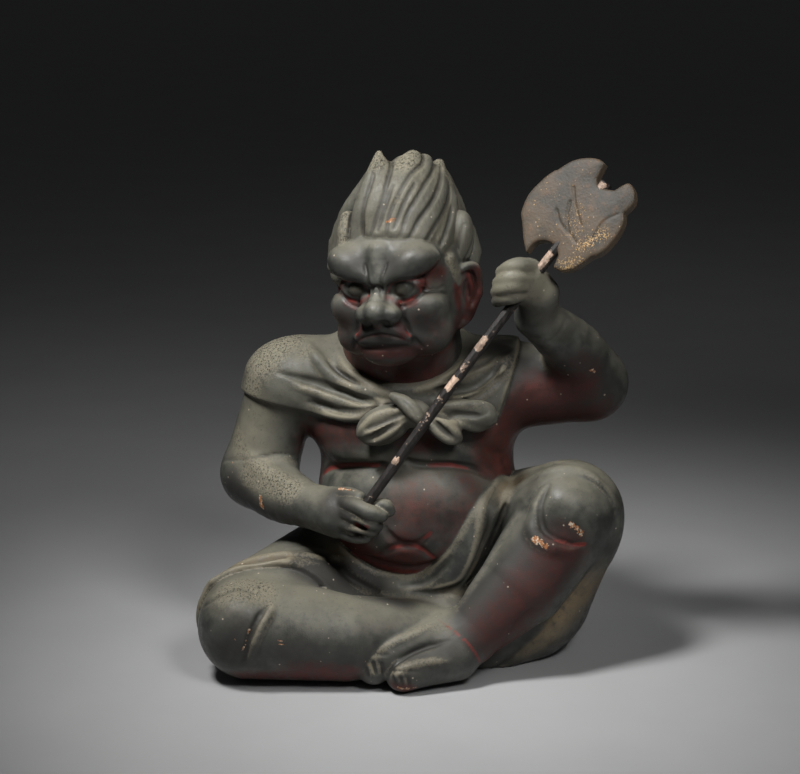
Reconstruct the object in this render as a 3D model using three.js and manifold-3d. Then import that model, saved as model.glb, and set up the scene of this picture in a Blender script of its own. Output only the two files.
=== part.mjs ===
// Seated demon with a long-handled axe: a figure of joined and lacquered wood, about 33 cm high.
// Millimetres, +Z up. The figure faces -Y and leans its head towards -X. The origin is the middle
// of its footprint, on the ground.
//
// The body is worked like clay: every mass is a rounded solid given by its distance function, the
// solids are blended on a grid of samples, and the surface where the distance is zero becomes a mesh.
import * as THREE from "three";
import { triTable } from "three/addons/objects/MarchingCubes.js";
import { mergeVertices } from "three/addons/utils/BufferGeometryUtils.js";
import Module from "manifold-3d";

// Driving dimensions
const SAMPLE = 2.5; // grid step of the carving
const LOW = [-141, -117, -17]; // lowest corner of the carved block
const HIGH = [162, 93, 336]; // highest corner of the carved block
const FIGURE_FACES = 8600; // triangles left in the figure after thinning
const CLOTH = 3.4; // thickness of the carved trousers and shoulder cloth
const HAFT_WIDTH = 6.6; // across the corners of the eight-sided haft
const BORE_GAP = 0.35; // play between the haft and the fists and blade
const BLADE_THICKNESS = 10;
const FAR = 60; // distance given to samples that no solid has reached

// Joints of the body, in the block's own frame
const HIP_R = [-12, 28, 46];
const KNEE_R = [-95, -68, 37];
const ANKLE_R = [18, -60, 24];
const HIP_L = [52, 26, 50];
const KNEE_L = [107, -38, 97];
const CALF_L = [78, -58, 58];
const ANKLE_L = [43, -72, 27];
const SHOULDER_R = [-72, 4, 171];
const ELBOW_R = [-93, 4, 112];
const WRIST_R = [-58, -42, 104];
const SHOULDER_L = [70, 4, 170];
const ELBOW_L = [121, 0, 173];
const WRIST_L = [84, -37, 224];
const HEAD_CENTRE = [2.5, -24.5, 243];
const HEAD_YAW = -21; // degrees, towards -X
const HEAD_PITCH = 2;
const HEAD_ROLL = -5;

// The haft's centre line, from the lower fist through the upper fist to its tip
const HAFT_FOOT = [-21.5, -81.6, 115];
const HAFT_MIDDLE = [42.5, -69.5, 203.5];
const HAFT_TIP = [124.8, -50, 309.2];
const BLADE_ALONG = [0.597, 0.129, 0.792]; // the haft's direction through the blade
const BLADE_FRONT = [-0.4, -0.808, 0.433]; // the side of the blade that faces forwards

// A frame of reference: an origin and a turn about Z, then X, then Y, in degrees.
function frameAt(origin, yaw = 0, pitch = 0, roll = 0) {
  const turn = new THREE.Euler(...[pitch, roll, yaw].map(THREE.MathUtils.degToRad), "ZXY");
  return { origin, axes: new THREE.Matrix3().setFromMatrix4(new THREE.Matrix4().makeRotationFromEuler(turn)) };
}
const BODY = frameAt([0, 0, 0]);
const HEAD = frameAt(HEAD_CENTRE, HEAD_YAW, HEAD_PITCH, HEAD_ROLL);

// A point of a frame, in the block's frame.
function placed(point, frame) {
  const moved = new THREE.Vector3(...point).applyMatrix3(frame.axes);
  return [moved.x + frame.origin[0], moved.y + frame.origin[1], moved.z + frame.origin[2]];
}

// A ball: the distance to its centre, less its radius.
function ball(centre, radius, frame = BODY) {
  const c = placed(centre, frame);
  const distance = (x, y, z) => Math.sqrt((x - c[0]) ** 2 + (y - c[1]) ** 2 + (z - c[2]) ** 2) - radius;
  return { low: c.map((v) => v - radius), high: c.map((v) => v + radius), distance };
}

// An egg: an ellipsoid with three radii along its frame's axes.
function egg(centre, radii, frame = BODY) {
  const c = placed(centre, frame);
  const m = frame.axes.elements;
  const reach = Math.max(...radii);
  const distance = (x, y, z) => {
    const dx = x - c[0];
    const dy = y - c[1];
    const dz = z - c[2];
    const u = (m[0] * dx + m[1] * dy + m[2] * dz) / radii[0];
    const v = (m[3] * dx + m[4] * dy + m[5] * dz) / radii[1];
    const w = (m[6] * dx + m[7] * dy + m[8] * dz) / radii[2];
    const size = Math.sqrt(u * u + v * v + w * w);
    const slope = Math.sqrt((u / radii[0]) ** 2 + (v / radii[1]) ** 2 + (w / radii[2]) ** 2);
    return slope < 1e-9 ? -Math.min(...radii) : (size * (size - 1)) / slope;
  };
  return { low: c.map((v) => v - reach), high: c.map((v) => v + reach), distance };
}

// A strand: round links from point to point, each tapering from its own radius to the next.
function strand(points, radii, frame = BODY) {
  const p = points.map((point) => placed(point, frame));
  const reach = Math.max(...radii);
  const distance = (x, y, z) => {
    let best = Infinity;
    for (let i = 0; i + 1 < p.length; i += 1) {
      const [a, b] = [p[i], p[i + 1]];
      const along = [b[0] - a[0], b[1] - a[1], b[2] - a[2]];
      const from = [x - a[0], y - a[1], z - a[2]];
      const length2 = along[0] ** 2 + along[1] ** 2 + along[2] ** 2;
      const share = (from[0] * along[0] + from[1] * along[1] + from[2] * along[2]) / length2;
      const t = Math.min(1, Math.max(0, share));
      const dx = from[0] - t * along[0];
      const dy = from[1] - t * along[1];
      const dz = from[2] - t * along[2];
      const radius = radii[i] + t * (radii[i + 1] - radii[i]);
      best = Math.min(best, Math.sqrt(dx * dx + dy * dy + dz * dz) - radius);
    }
    return best;
  };
  const low = [0, 1, 2].map((k) => Math.min(...p.map((q) => q[k])) - reach);
  const high = [0, 1, 2].map((k) => Math.max(...p.map((q) => q[k])) + reach);
  return { low, high, distance };
}

// The smaller of two distances, rounded off where they are within the blend of each other.
function softLeast(a, b, blend) {
  if (blend <= 0) return Math.min(a, b);
  const overlap = Math.max(blend - Math.abs(a - b), 0) / blend;
  return Math.min(a, b) - (overlap * overlap * blend) / 4;
}

const SIZE = [0, 1, 2].map((k) => Math.ceil((HIGH[k] - LOW[k]) / SAMPLE) + 1);
const STRIDE = [1, SIZE[0], SIZE[0] * SIZE[1]];

// A block of wood, as distances to its surface on a grid, negative inside.
class Block {
  constructor() {
    this.samples = new Float32Array(SIZE[0] * SIZE[1] * SIZE[2]).fill(FAR);
  }

  // Changes each sample within reach of a shape by a rule of its old value and the shape's distance.
  work(shape, reach, rule) {
    const first = [0, 1, 2].map((k) => Math.max(0, Math.floor((shape.low[k] - reach - LOW[k]) / SAMPLE)));
    const last = [0, 1, 2].map((k) =>
      Math.min(SIZE[k] - 1, Math.ceil((shape.high[k] + reach - LOW[k]) / SAMPLE)),
    );
    for (let k = first[2]; k <= last[2]; k += 1) {
      for (let j = first[1]; j <= last[1]; j += 1) {
        for (let i = first[0]; i <= last[0]; i += 1) {
          const at = i + j * STRIDE[1] + k * STRIDE[2];
          const d = shape.distance(LOW[0] + i * SAMPLE, LOW[1] + j * SAMPLE, LOW[2] + k * SAMPLE);
          this.samples[at] = rule(this.samples[at], d);
        }
      }
    }
    return this;
  }

  add(shape, blend = 0) {
    return this.work(shape, blend + 12, (old, d) => softLeast(old, d, blend));
  }

  cut(shape, blend = 0) {
    return this.work(shape, blend, (old, d) => -softLeast(-old, d, blend));
  }

  join(other, blend = 0) {
    this.samples = this.samples.map((old, at) => softLeast(old, other.samples[at], blend));
    return this;
  }

  copy() {
    const twin = new Block();
    twin.samples.set(this.samples);
    return twin;
  }

  // Grows the block by a thickness and keeps what lies inside a region.
  coat(thickness, region, blend) {
    const whole = { low: LOW, high: HIGH, distance: region };
    this.samples = this.samples.map((old) => old - thickness);
    return this.work(whole, 0, (old, d) => -softLeast(-old, d, blend));
  }
}

// The belly, chest, shoulders and bull neck, with the creases over and under the belly.
function makeTrunk() {
  return new Block()
    .add(egg([16, 8, 60], [60, 52, 50]))
    .add(egg([12, -8, 96], [64, 54, 51]), 12)
    .add(egg([8, -2, 150], [66, 46, 40]), 8)
    .add(strand([[-60, 5, 171], [68, 5, 171]], [28, 28]), 14)
    .add(strand([[2, 2, 180], [1, -14, 215]], [40, 36]), 12)
    .add(strand([[-28, -38, 137], [10, -46, 139], [44, -38, 136]], [5, 6, 5]), 6)
    .cut(strand([[-45, -15, 119], [-34, -30, 127], [-22, -40, 131], [-10, -46, 131]], [1.5, 2, 2, 1]), 3)
    .cut(strand([[12, -48, 131], [31, -46, 131], [44, -41, 126], [53, -40, 119]], [1, 2, 2, 1.5]), 3)
    .cut(strand([[-6, -60, 92], [-1, -60, 86], [9, -60, 86], [16, -60, 92]], [1.5, 2, 2, 1.5]), 2)
    .cut(strand([[-10, -55, 76], [-1, -59, 83], [9, -60, 83], [19, -57, 77]], [1.2, 2, 2, 1.2]), 2);
}

// The hips, both thighs and the ground under them.
function makeThighs() {
  return new Block()
    .add(egg([18, 24, 44], [66, 54, 44]))
    .add(strand([HIP_R, KNEE_R], [43, 30]), 6)
    .add(strand([HIP_L, KNEE_L], [46, 31]), 10)
    .add(strand([[102, -30, 78], [86, -16, 38], HIP_L], [31, 35, 40]), 14)
    .add(strand([[78, -28, 30], [52, -42, 22]], [29, 25]), 12)
    .add(strand([[-70, -34, 12], [0, -40, 12], [60, -20, 14]], [16, 16, 16]), 12)
    .add(egg([16, -8, 12], [78, 58, 18]), 10);
}

// Both bare shins, from the knees to the ankles, with the kneecaps and their folds.
function makeShins() {
  return new Block()
    .add(strand([[-93, -71, 34], [-34, -76, 28], ANKLE_R], [33, 27, 22]))
    .add(strand([KNEE_L, CALF_L, ANKLE_L], [31.5, 27, 17]))
    .add(ball([104, -50, 104], 21.5), 2)
    .add(strand([[83, -61, 118], [80.5, -66, 107], [84, -67, 96], [92, -69, 88]], [4, 4.5, 4.5, 3]), 3)
    .cut(strand([[91, -57, 123], [86.5, -67, 115], [88, -72, 104], [97, -75, 94]], [1.5, 2, 2, 2]), 2)
    .cut(strand([[97, -75, 94], [107, -73, 89]], [2, 1.5]), 2)
    .cut(strand([[-86, -100, 52], [-91, -104, 40], [-95, -103, 25]], [1.5, 3, 2]), 3);
}

// The trousers: a coat over the hips and thighs, below the waist and behind the hems at the knees.
function makeTrousers() {
  const region = (x, y, z) => {
    const waist = 57 + 0.5 * Math.max(0, -x) + 0.021 * Math.max(0, x) ** 2 + 0.35 * (y + 50) - z;
    const hem = y + 52 + 20 * Math.exp(-(((x - 2) / 38) ** 2)) + 0.08 * Math.max(0, -x);
    return Math.min(waist, hem);
  };
  return makeThighs().coat(CLOTH, region, 2);
}

// The left foot, with its two clawed toes.
function makeFoot() {
  return new Block()
    .add(strand([ANKLE_L, [30, -80, 18]], [18, 17]))
    .add(strand([[30, -82, 15], [-1, -97, 9]], [14, 10]), 5)
    .add(strand([[28, -74, 26], [-20, -87, 11]], [15, 10]), 1.5);
}

// The lowered right arm, from the shoulder to the wrist.
function makeRightArm() {
  return new Block()
    .add(strand([SHOULDER_R, [-84, 5, 145], ELBOW_R], [26, 21, 22]))
    .add(strand([ELBOW_R, [-76, -22, 106], WRIST_R], [21, 18, 14]), 8);
}

// The raised left arm, from the shoulder to the wrist.
function makeLeftArm() {
  return new Block()
    .add(strand([SHOULDER_L, ELBOW_L], [28, 24]))
    .add(strand([ELBOW_L, [110, -18, 198], WRIST_L], [22, 18, 13]), 8);
}

// The right fist, low on the haft.
function makeRightHand() {
  return new Block()
    .add(strand([WRIST_R, [-38, -60, 104]], [14, 16]))
    .add(strand([[-38, -58, 114], [-27, -70, 116], [-19, -80, 115], [-10, -80, 112]], [6, 6, 5, 4.5]), 4)
    .add(strand([[-34, -68, 111], [-24, -78, 110], [-15, -81, 105]], [5.5, 5, 4.5]), 1)
    .add(strand([[-35, -71, 104], [-25, -79, 103], [-18, -77, 100]], [5, 4.5, 4]), 1.5)
    .add(strand([[-36, -68, 96], [-26, -75, 94], [-21, -73, 93]], [5, 4.5, 4]), 1.5)
    .add(strand([[-32, -66, 104], [-20, -73, 104]], [12, 9]), 4);
}

// The left fist, high on the haft.
function makeLeftHand() {
  return new Block()
    .add(strand([WRIST_L, [81, -48, 244]], [13, 13]))
    .add(egg([75, -56, 248], [11, 10, 15]), 6)
    .add(strand([[86, -56, 256], [77, -66, 260], [67, -62, 259]], [5.5, 5.5, 4.5]), 2)
    .add(strand([[84, -60, 251], [71, -69, 254], [62, -63, 253]], [5, 5.2, 4.5]), 1)
    .add(strand([[81, -61, 243], [68, -70, 247], [60, -63, 246]], [5, 5.2, 4.5]), 1)
    .add(strand([[77, -60, 236], [65, -69, 240], [60, -62, 239]], [5, 5, 4]), 1);
}

// The skull, brows, eyes, nose, mouth, cheeks, jaw and ears.
function makeHead() {
  const head = new Block()
    .add(egg([0, 5, 8], [40, 44, 40], HEAD))
    .add(egg([0, -6, -18], [38, 37, 24], HEAD), 10)
    .add(egg([0, -36, -24], [20, 13, 15], HEAD), 10)
    .add(strand([[-22, -22, -33], [0, -37, -34], [22, -22, -33]], [10, 11, 10], HEAD), 6);
  for (const side of [-1, 1]) {
    head
      .add(egg([side * 17, -33, 23], [18, 14, 11], HEAD), 4)
      .cut(egg([side * 18, -48, 6.5], [14, 10, 7], HEAD), 4)
      .add(egg([side * 25, -29, -10], [15, 14, 13], HEAD), 6)
      .add(strand([[side * 5, -44, 12], [side * 17, -43, 16], [side * 33, -27, 21]], [5, 5, 4], HEAD), 3)
      .add(egg([side * 17, -35.5, 6.5], [10, 7, 6.5], HEAD), 1)
      .add(ball([side * 10, -48, -12], 6, HEAD), 3)
      .add(strand([[side * 40, -2, 10], [side * 47, 6, 12], [side * 48, 8, -8]], [4, 4, 4], HEAD), 4)
      .add(strand([[side * 48, 8, -8], [side * 42, 4, -24], [side * 37, -4, -28]], [4, 4, 3], HEAD), 2)
      .add(egg([side * 41, 4, -6], [5, 8, 17], HEAD), 4);
  }
  return head
    .add(strand([[0, -45, 14], [0, -50, 3], [0, -56, -8]], [5, 6, 8], HEAD), 4)
    .cut(strand([[-17, -43, -28], [0, -53, -22.5], [17, -43, -28]], [1.5, 2, 1.5], HEAD), 3);
}

// The swept-up hair: a core, the locks that flame upwards, and the tufts at the temples.
function makeHair() {
  return new Block()
    .add(strand([[3, -16, 270], [5, -12, 288], [7, -10, 300]], [37, 28, 18]))
    .add(strand([[-25, -50, 272], [-18, -40, 298], [-12, -29, 321]], [6, 8, 3]), 3)
    .add(strand([[-12, -56, 276], [-8, -45, 298], [-5, -30, 312]], [6, 8, 5]), 3)
    .add(strand([[2, -58, 277], [4, -44, 298], [8, -22, 319]], [6, 9, 5.5]), 3)
    .add(strand([[16, -53, 274], [17, -38, 296], [17, -8, 316]], [6, 8, 4.5]), 3)
    .add(strand([[28, -42, 270], [26, -24, 294], [24, -1, 312]], [6, 8, 4.5]), 3)
    .add(strand([[37, 6, 236], [32, 12, 270], [20, 8, 304]], [9, 11, 6]), 5)
    .add(strand([[18, 20, 226], [15, 21, 268], [10, 8, 307]], [11, 12, 6]), 5)
    .add(strand([[-6, 20, 226], [-8, 19, 268], [-3, 2, 307]], [11, 12, 6]), 5)
    .add(strand([[-28, 6, 236], [-27, 4, 268], [-14, -8, 304]], [9, 10, 5]), 5)
    .add(strand([[31, -30, 252], [38, -23, 268], [35, -15, 284]], [5, 9, 5]), 3)
    .add(strand([[42, -4, 246], [42, 0, 266]], [7.5, 6.5]), 5)
    .add(strand([[-31, -40, 260], [-31, -33, 275], [-30, -26, 285]], [6, 8, 6.5]), 5);
}

// The shoulder cloth: a coat over the shoulders and upper arms, below the neck and above its hem.
function makeShoulderCloth(body) {
  const region = (x, y, z) => {
    const neck = 178 + 0.5 * (y + 50) - z;
    const hem = z - 158 - 0.2 * Math.max(0, -x - 50);
    const left = 64 + 0.35 * (z - 163) - x;
    return Math.min(neck, hem, left);
  };
  return body
    .copy()
    .coat(CLOTH, region, 2)
    .add(strand([[-9, -52, 173], [-25, -42, 176], [-38, -27, 179], [-52, -16, 189]], [6, 5, 5, 3]), 4)
    .add(strand([[-15, -48, 168], [-31, -34, 166], [-45, -26, 172]], [5, 5, 3]), 4)
    .add(strand([[-15, -51, 168], [-34, -35, 160], [-48, -28, 158]], [5, 4, 3]), 4)
    .add(strand([[24, -53, 174], [46, -41, 179], [62, -28, 188], [66, -14, 198]], [6, 5, 5, 4]), 4)
    .cut(strand([[-24, -46, 172], [-46, -29, 177], [-60, -25, 180], [-72, -22, 184]], [2, 3, 3, 1]), 3)
    .cut(strand([[30, -54, 179], [46, -46, 184], [57, -37, 187]], [1.5, 3, 1.5]), 3);
}

// The cloth's knot, with a loop to one side and two to the other.
function makeKnot() {
  return new Block()
    .add(egg([7, -55, 168], [10, 8, 9]))
    .add(strand([[2, -56, 168], [-14, -56, 166], [-18, -54, 156], [-2, -57, 158]], [5, 8, 8, 4]), 3)
    .add(strand([[20, -56, 170], [42, -48, 170], [54, -42, 160], [34, -50, 158]], [5, 6, 7, 5]), 3)
    .add(strand([[14, -58, 168], [30, -54, 158], [20, -56, 154]], [6, 7, 4]), 3);
}

const trunk = makeTrunk();
const cloth = makeShoulderCloth(trunk.copy().join(makeRightArm(), 6));
const figure = trunk
  .join(makeThighs(), 3)
  .join(makeTrousers(), 1)
  .join(makeShins(), 1)
  .join(makeFoot(), 2)
  .join(makeRightArm(), 6)
  .join(makeRightHand(), 2)
  .join(makeLeftArm(), 8)
  .join(makeLeftHand(), 2)
  .join(makeHead(), 4)
  .join(makeHair(), 2)
  .join(cloth, 1)
  .join(makeKnot(), 1);

// Corners of a grid cell, and the pair of corners that each of its twelve edges joins.
const CORNERS = [
  [0, 0, 0], [1, 0, 0], [1, 1, 0], [0, 1, 0],
  [0, 0, 1], [1, 0, 1], [1, 1, 1], [0, 1, 1],
];
const EDGES = [
  [0, 1], [1, 2], [2, 3], [3, 0], [4, 5], [5, 6],
  [6, 7], [7, 4], [0, 4], [1, 5], [2, 6], [3, 7],
];

// The surface where a block's samples change sign, as marching cubes: points and triangles.
function surfaceOf(block) {
  const { samples } = block;
  const points = [];
  const faces = [];
  const pointOn = new Map();
  const offset = CORNERS.map((c) => c[0] + c[1] * STRIDE[1] + c[2] * STRIDE[2]);
  const crossing = (cell, base, edge) => {
    const [a, b] = EDGES[edge];
    const [low, high] = offset[a] < offset[b] ? [a, b] : [b, a];
    const key = (base + offset[low]) * 3 + CORNERS[high].findIndex((v, k) => v !== CORNERS[low][k]);
    if (!pointOn.has(key)) {
      const [from, to] = [samples[base + offset[low]], samples[base + offset[high]]];
      const share = from / (from - to);
      pointOn.set(key, points.length / 3);
      for (let k = 0; k < 3; k += 1) {
        const at = cell[k] + CORNERS[low][k] + share * (CORNERS[high][k] - CORNERS[low][k]);
        points.push(LOW[k] + at * SAMPLE);
      }
    }
    return pointOn.get(key);
  };
  for (let k = 0; k + 1 < SIZE[2]; k += 1) {
    for (let j = 0; j + 1 < SIZE[1]; j += 1) {
      for (let i = 0; i + 1 < SIZE[0]; i += 1) {
        const base = i + j * STRIDE[1] + k * STRIDE[2];
        const kind = offset.reduce((bits, o, c) => bits | (samples[base + o] < 0 ? 1 << c : 0), 0);
        if (kind === 0 || kind === 255) continue;
        for (let t = kind * 16; triTable[t] !== -1; t += 3) {
          const corners = [0, 2, 1].map((c) => crossing([i, j, k], base, triTable[t + c]));
          faces.push(corners);
        }
      }
    }
  }
  return { points, faces };
}

// The distance from a plane to a point, squared, as the ten sums of a quadric.
function planeSums(n, d, weight) {
  return [
    n.x * n.x, n.x * n.y, n.x * n.z, n.x * d, n.y * n.y,
    n.y * n.z, n.y * d, n.z * n.z, n.z * d, d * d,
  ].map((v) => v * weight);
}

// Merges the ends of an edge again and again, where that changes the shape least, until few faces
// are left. A merge that would fold the surface or pinch it is passed over.
function thinned({ points, faces }, wanted, weightAt) {
  const count = points.length / 3;
  const at = Array.from({ length: count }, (_, i) => new THREE.Vector3().fromArray(points, i * 3));
  const sums = Array.from({ length: count }, () => new Float64Array(10));
  const around = Array.from({ length: count }, () => new Set());
  const stamp = new Uint32Array(count);
  const [e1, e2] = [new THREE.Vector3(), new THREE.Vector3()];
  const normalOf = (a, b, c) => new THREE.Vector3().crossVectors(e1.subVectors(b, a), e2.subVectors(c, a));
  faces.forEach((face, f) => {
    const normal = normalOf(...face.map((v) => at[v]));
    const area = normal.length();
    if (area > 0) {
      normal.divideScalar(area);
      const plane = planeSums(normal, -normal.dot(at[face[0]]), area * weightAt(at[face[0]]));
      face.forEach((v) => plane.forEach((value, s) => (sums[v][s] += value)));
    }
    face.forEach((v) => around[v].add(f));
  });
  const error = (q, p) =>
    q[0] * p.x * p.x + 2 * q[1] * p.x * p.y + 2 * q[2] * p.x * p.z + 2 * q[3] * p.x +
    q[4] * p.y * p.y + 2 * q[5] * p.y * p.z + 2 * q[6] * p.y +
    q[7] * p.z * p.z + 2 * q[8] * p.z + q[9];
  const solver = new THREE.Matrix3();
  const heap = [];
  const lower = (i, j) => heap[i].cost < heap[j].cost;
  const swap = (i, j) => ([heap[i], heap[j]] = [heap[j], heap[i]]);
  const push = (entry) => {
    let i = heap.push(entry) - 1;
    while (i > 0 && lower(i, (i - 1) >> 1)) {
      swap(i, (i - 1) >> 1);
      i = (i - 1) >> 1;
    }
  };
  const pop = () => {
    swap(0, heap.length - 1);
    const top = heap.pop();
    let i = 0;
    for (;;) {
      let least = i;
      for (const child of [2 * i + 1, 2 * i + 2]) {
        if (child < heap.length && lower(child, least)) least = child;
      }
      if (least === i) return top;
      swap(i, least);
      i = least;
    }
  };
  const consider = (a, b) => {
    const q = sums[a].map((v, s) => v + sums[b][s]);
    const middle = at[a].clone().lerp(at[b], 0.5);
    const keep = 1e-3 * (q[0] + q[4] + q[7]) + 1e-9;
    solver.set(q[0] + keep, q[1], q[2], q[1], q[4] + keep, q[5], q[2], q[5], q[7] + keep);
    const target = new THREE.Vector3(keep * middle.x - q[3], keep * middle.y - q[6], keep * middle.z - q[8]);
    const place = target.applyMatrix3(solver.invert());
    const length = at[a].distanceTo(at[b]);
    if (!(place.distanceTo(middle) < 2 * length)) place.copy(middle);
    push({ cost: error(q, place) + 1e-3 * length ** 3, a, b, q, place, made: stamp[a] + stamp[b] });
  };
  const neighbours = (v) => new Set([...around[v]].flatMap((f) => faces[f]).filter((w) => w !== v));
  const folds = (v, other, place) =>
    [...around[v]].some((f) => {
      if (faces[f].includes(other)) return false;
      const old = normalOf(...faces[f].map((w) => at[w]));
      const now = normalOf(...faces[f].map((w) => (w === v ? place : at[w])));
      return old.dot(now) < 0.3 * old.length() * now.length() || now.length() < 1e-4;
    });
  for (let v = 0; v < count; v += 1) {
    for (const w of neighbours(v)) if (w > v) consider(v, w);
  }
  let left = faces.length;
  while (left > wanted && heap.length) {
    const { a, b, q, place, made } = pop();
    if (made !== stamp[a] + stamp[b] || !around[a].size || !around[b].size) continue;
    const shared = [...neighbours(a)].filter((v) => neighbours(b).has(v));
    if (shared.length !== 2 || folds(a, b, place) || folds(b, a, place)) continue;
    at[a].copy(place);
    sums[a] = q;
    for (const f of around[b]) {
      if (faces[f].includes(a)) {
        faces[f].forEach((v) => v !== b && around[v].delete(f));
        faces[f] = null;
        left -= 1;
      } else {
        faces[f] = faces[f].map((v) => (v === b ? a : v));
        around[a].add(f);
      }
    }
    around[b].clear();
    stamp[a] += 1;
    for (const v of neighbours(a)) {
      stamp[v] += 1;
    }
    for (const v of neighbours(a)) {
      for (const w of neighbours(v)) consider(v, w);
    }
  }
  const number = new Map();
  const kept = faces.filter(Boolean).map((face) =>
    face.map((v) => {
      if (!number.has(v)) number.set(v, number.size);
      return number.get(v);
    }),
  );
  return { points: [...number.keys()].flatMap((v) => at[v].toArray()), faces: kept };
}

const { Manifold, Mesh: SolidMesh } = await loadSolids();

// The manifold-3d kernel, ready for use.
async function loadSolids() {
  const kernel = await Module();
  kernel.setup();
  return kernel;
}

// A closed solid of the kernel from a three.js geometry or from points and faces, and back.
function solidOf(points, faces) {
  const solid = new SolidMesh({
    numProp: 3,
    vertProperties: Float32Array.from(points),
    triVerts: Uint32Array.from(faces),
  });
  solid.merge();
  return new Manifold(solid);
}
function solidOfGeometry(geometry) {
  const bare = new THREE.BufferGeometry();
  bare.setAttribute("position", geometry.getAttribute("position"));
  const welded = mergeVertices(bare, 1e-4);
  return solidOf(welded.getAttribute("position").array, welded.index.array);
}
function geometryOf(solid) {
  const mesh = solid.getMesh();
  const geometry = new THREE.BufferGeometry();
  geometry.setAttribute("position", new THREE.BufferAttribute(mesh.vertProperties, mesh.numProp));
  geometry.setIndex(new THREE.BufferAttribute(mesh.triVerts, 1));
  return geometry;
}

// The haft: an eight-sided staff along a slightly bowed line, grown outwards by a margin.
function makeHaft(margin) {
  const across = HAFT_WIDTH / 2 + margin;
  const corners = Array.from({ length: 8 }, (_, i) => {
    const angle = ((i + 0.5) * Math.PI) / 4;
    return new THREE.Vector2(across * Math.cos(angle), across * Math.sin(angle));
  });
  const [foot, middle, tip] = [HAFT_FOOT, HAFT_MIDDLE, HAFT_TIP].map((p) => new THREE.Vector3(...p));
  const grown = tip.clone().sub(foot).setLength(margin);
  const line = new THREE.CatmullRomCurve3([foot.sub(grown), middle, tip.add(grown)]);
  return new THREE.ExtrudeGeometry(new THREE.Shape(corners), { steps: 16, extrudePath: line });
}

// The blade's outline, along the haft from its tip and across it.
function bladeOutline() {
  const outline = new THREE.Shape();
  outline.moveTo(-62.7, -13.9);
  outline.splineThru([[-57, -21], [-50.9, -27], [-47.8, -30.2]].map((p) => new THREE.Vector2(...p)));
  outline.lineTo(-46.5, -31.8);
  outline.splineThru(
    [[-43.9, -33.6], [-37.6, -35.7], [-30.5, -36.5], [-18.4, -34.4], [-11.6, -31.8]].map(
      (p) => new THREE.Vector2(...p),
    ),
  );
  outline.lineTo(-11, -30.8);
  outline.splineThru([[-1.7, -26.6], [5, -20], [8.6, -13], [8.8, -7.6]].map((p) => new THREE.Vector2(...p)));
  outline.lineTo(-1.6, -5.5);
  outline.quadraticCurveTo(-5, -3, -4.4, 1.5);
  outline.lineTo(-1.4, 8.2);
  outline.splineThru(
    [[6.6, 12.4], [6.4, 17], [3, 21.4], [-2, 23.8], [-9.4, 22.6]].map((p) => new THREE.Vector2(...p)),
  );
  outline.splineThru(
    [[-13, 25.6], [-20, 27.6], [-28, 27.8], [-36.2, 26.4], [-42, 22.2]].map((p) => new THREE.Vector2(...p)),
  );
  outline.splineThru(
    [[-48, 20.4], [-54, 17.6], [-58.6, 12.6], [-60, 6.4]].map((p) => new THREE.Vector2(...p)),
  );
  outline.lineTo(-52.7, 4.5);
  outline.quadraticCurveTo(-46.5, -2, -50, -8.6);
  outline.quadraticCurveTo(-54, -13.4, -62.7, -13.9);
  return outline;
}

// The blade: its outline, thickened and stood in line with the haft.
function makeBlade() {
  const settings = { depth: BLADE_THICKNESS, bevelEnabled: false, curveSegments: 3 };
  const blade = new THREE.ExtrudeGeometry(bladeOutline(), settings);
  blade.translate(0, 0, -BLADE_THICKNESS / 2);
  const along = new THREE.Vector3(...BLADE_ALONG).normalize();
  const front = new THREE.Vector3(...BLADE_FRONT);
  front.addScaledVector(along, -front.dot(along)).normalize();
  const across = new THREE.Vector3().crossVectors(along, front);
  const stand = new THREE.Matrix4().makeBasis(along, across, front.negate());
  stand.setPosition(...HAFT_TIP);
  return blade.applyMatrix4(stand);
}

const surface = surfaceOf(figure);
const HANDS = [WRIST_R, WRIST_L, ANKLE_L].map((p) => new THREE.Vector3(...p));
const careAt = (p) => (HANDS.some((hand) => p.distanceTo(hand) < 34) || p.z > 206 ? 3 : 1);
const thin = thinned(surface, FIGURE_FACES, careAt);
const bore = solidOfGeometry(makeHaft(BORE_GAP));
const solids = {
  demon_figure: solidOf(thin.points, thin.faces.flat()).trimByPlane([0, 0, 1], 0).subtract(bore),
  axe_haft: solidOfGeometry(makeHaft(0)),
  axe_head: solidOfGeometry(makeBlade()).subtract(bore),
};
const looks = {
  demon_figure: { color: 0x55564d, roughness: 0.6, metalness: 0 },
  axe_haft: { color: 0x4a4240, roughness: 0.55, metalness: 0 },
  axe_head: { color: 0x6e655a, roughness: 0.6, metalness: 0.1 },
};

const demon = new THREE.Group();
for (const [name, solid] of Object.entries(solids)) {
  const part = new THREE.Mesh(geometryOf(solid), new THREE.MeshStandardMaterial(looks[name]));
  part.name = name;
  demon.add(part);
}


// Stand the figure on the origin, with the middle of its footprint there.
const bounds = new THREE.Box3().setFromObject(demon);
const middle = bounds.getCenter(new THREE.Vector3());
demon.children.forEach((part) => part.geometry.translate(-middle.x, -middle.y, -bounds.min.z));

export default demon;
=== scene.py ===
"""Seated demon with a long-handled axe: a carved, joined and lacquered wooden figure, 325 mm high.

The figure is one skin of lacquer over joined blocks, so no grid of two parameters covers it. It is
worked like clay instead: every mass is a rounded solid given by its distance in whole numpy arrays
over a box of samples, the solids are blended, and the surface where the distance is zero becomes
the mesh. The haft is a profile carried along a path. Carving sizes are in millimetres of the
carver's block, which STANDS moves on to the frame, and meshes are in metres.
"""
import math

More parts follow.
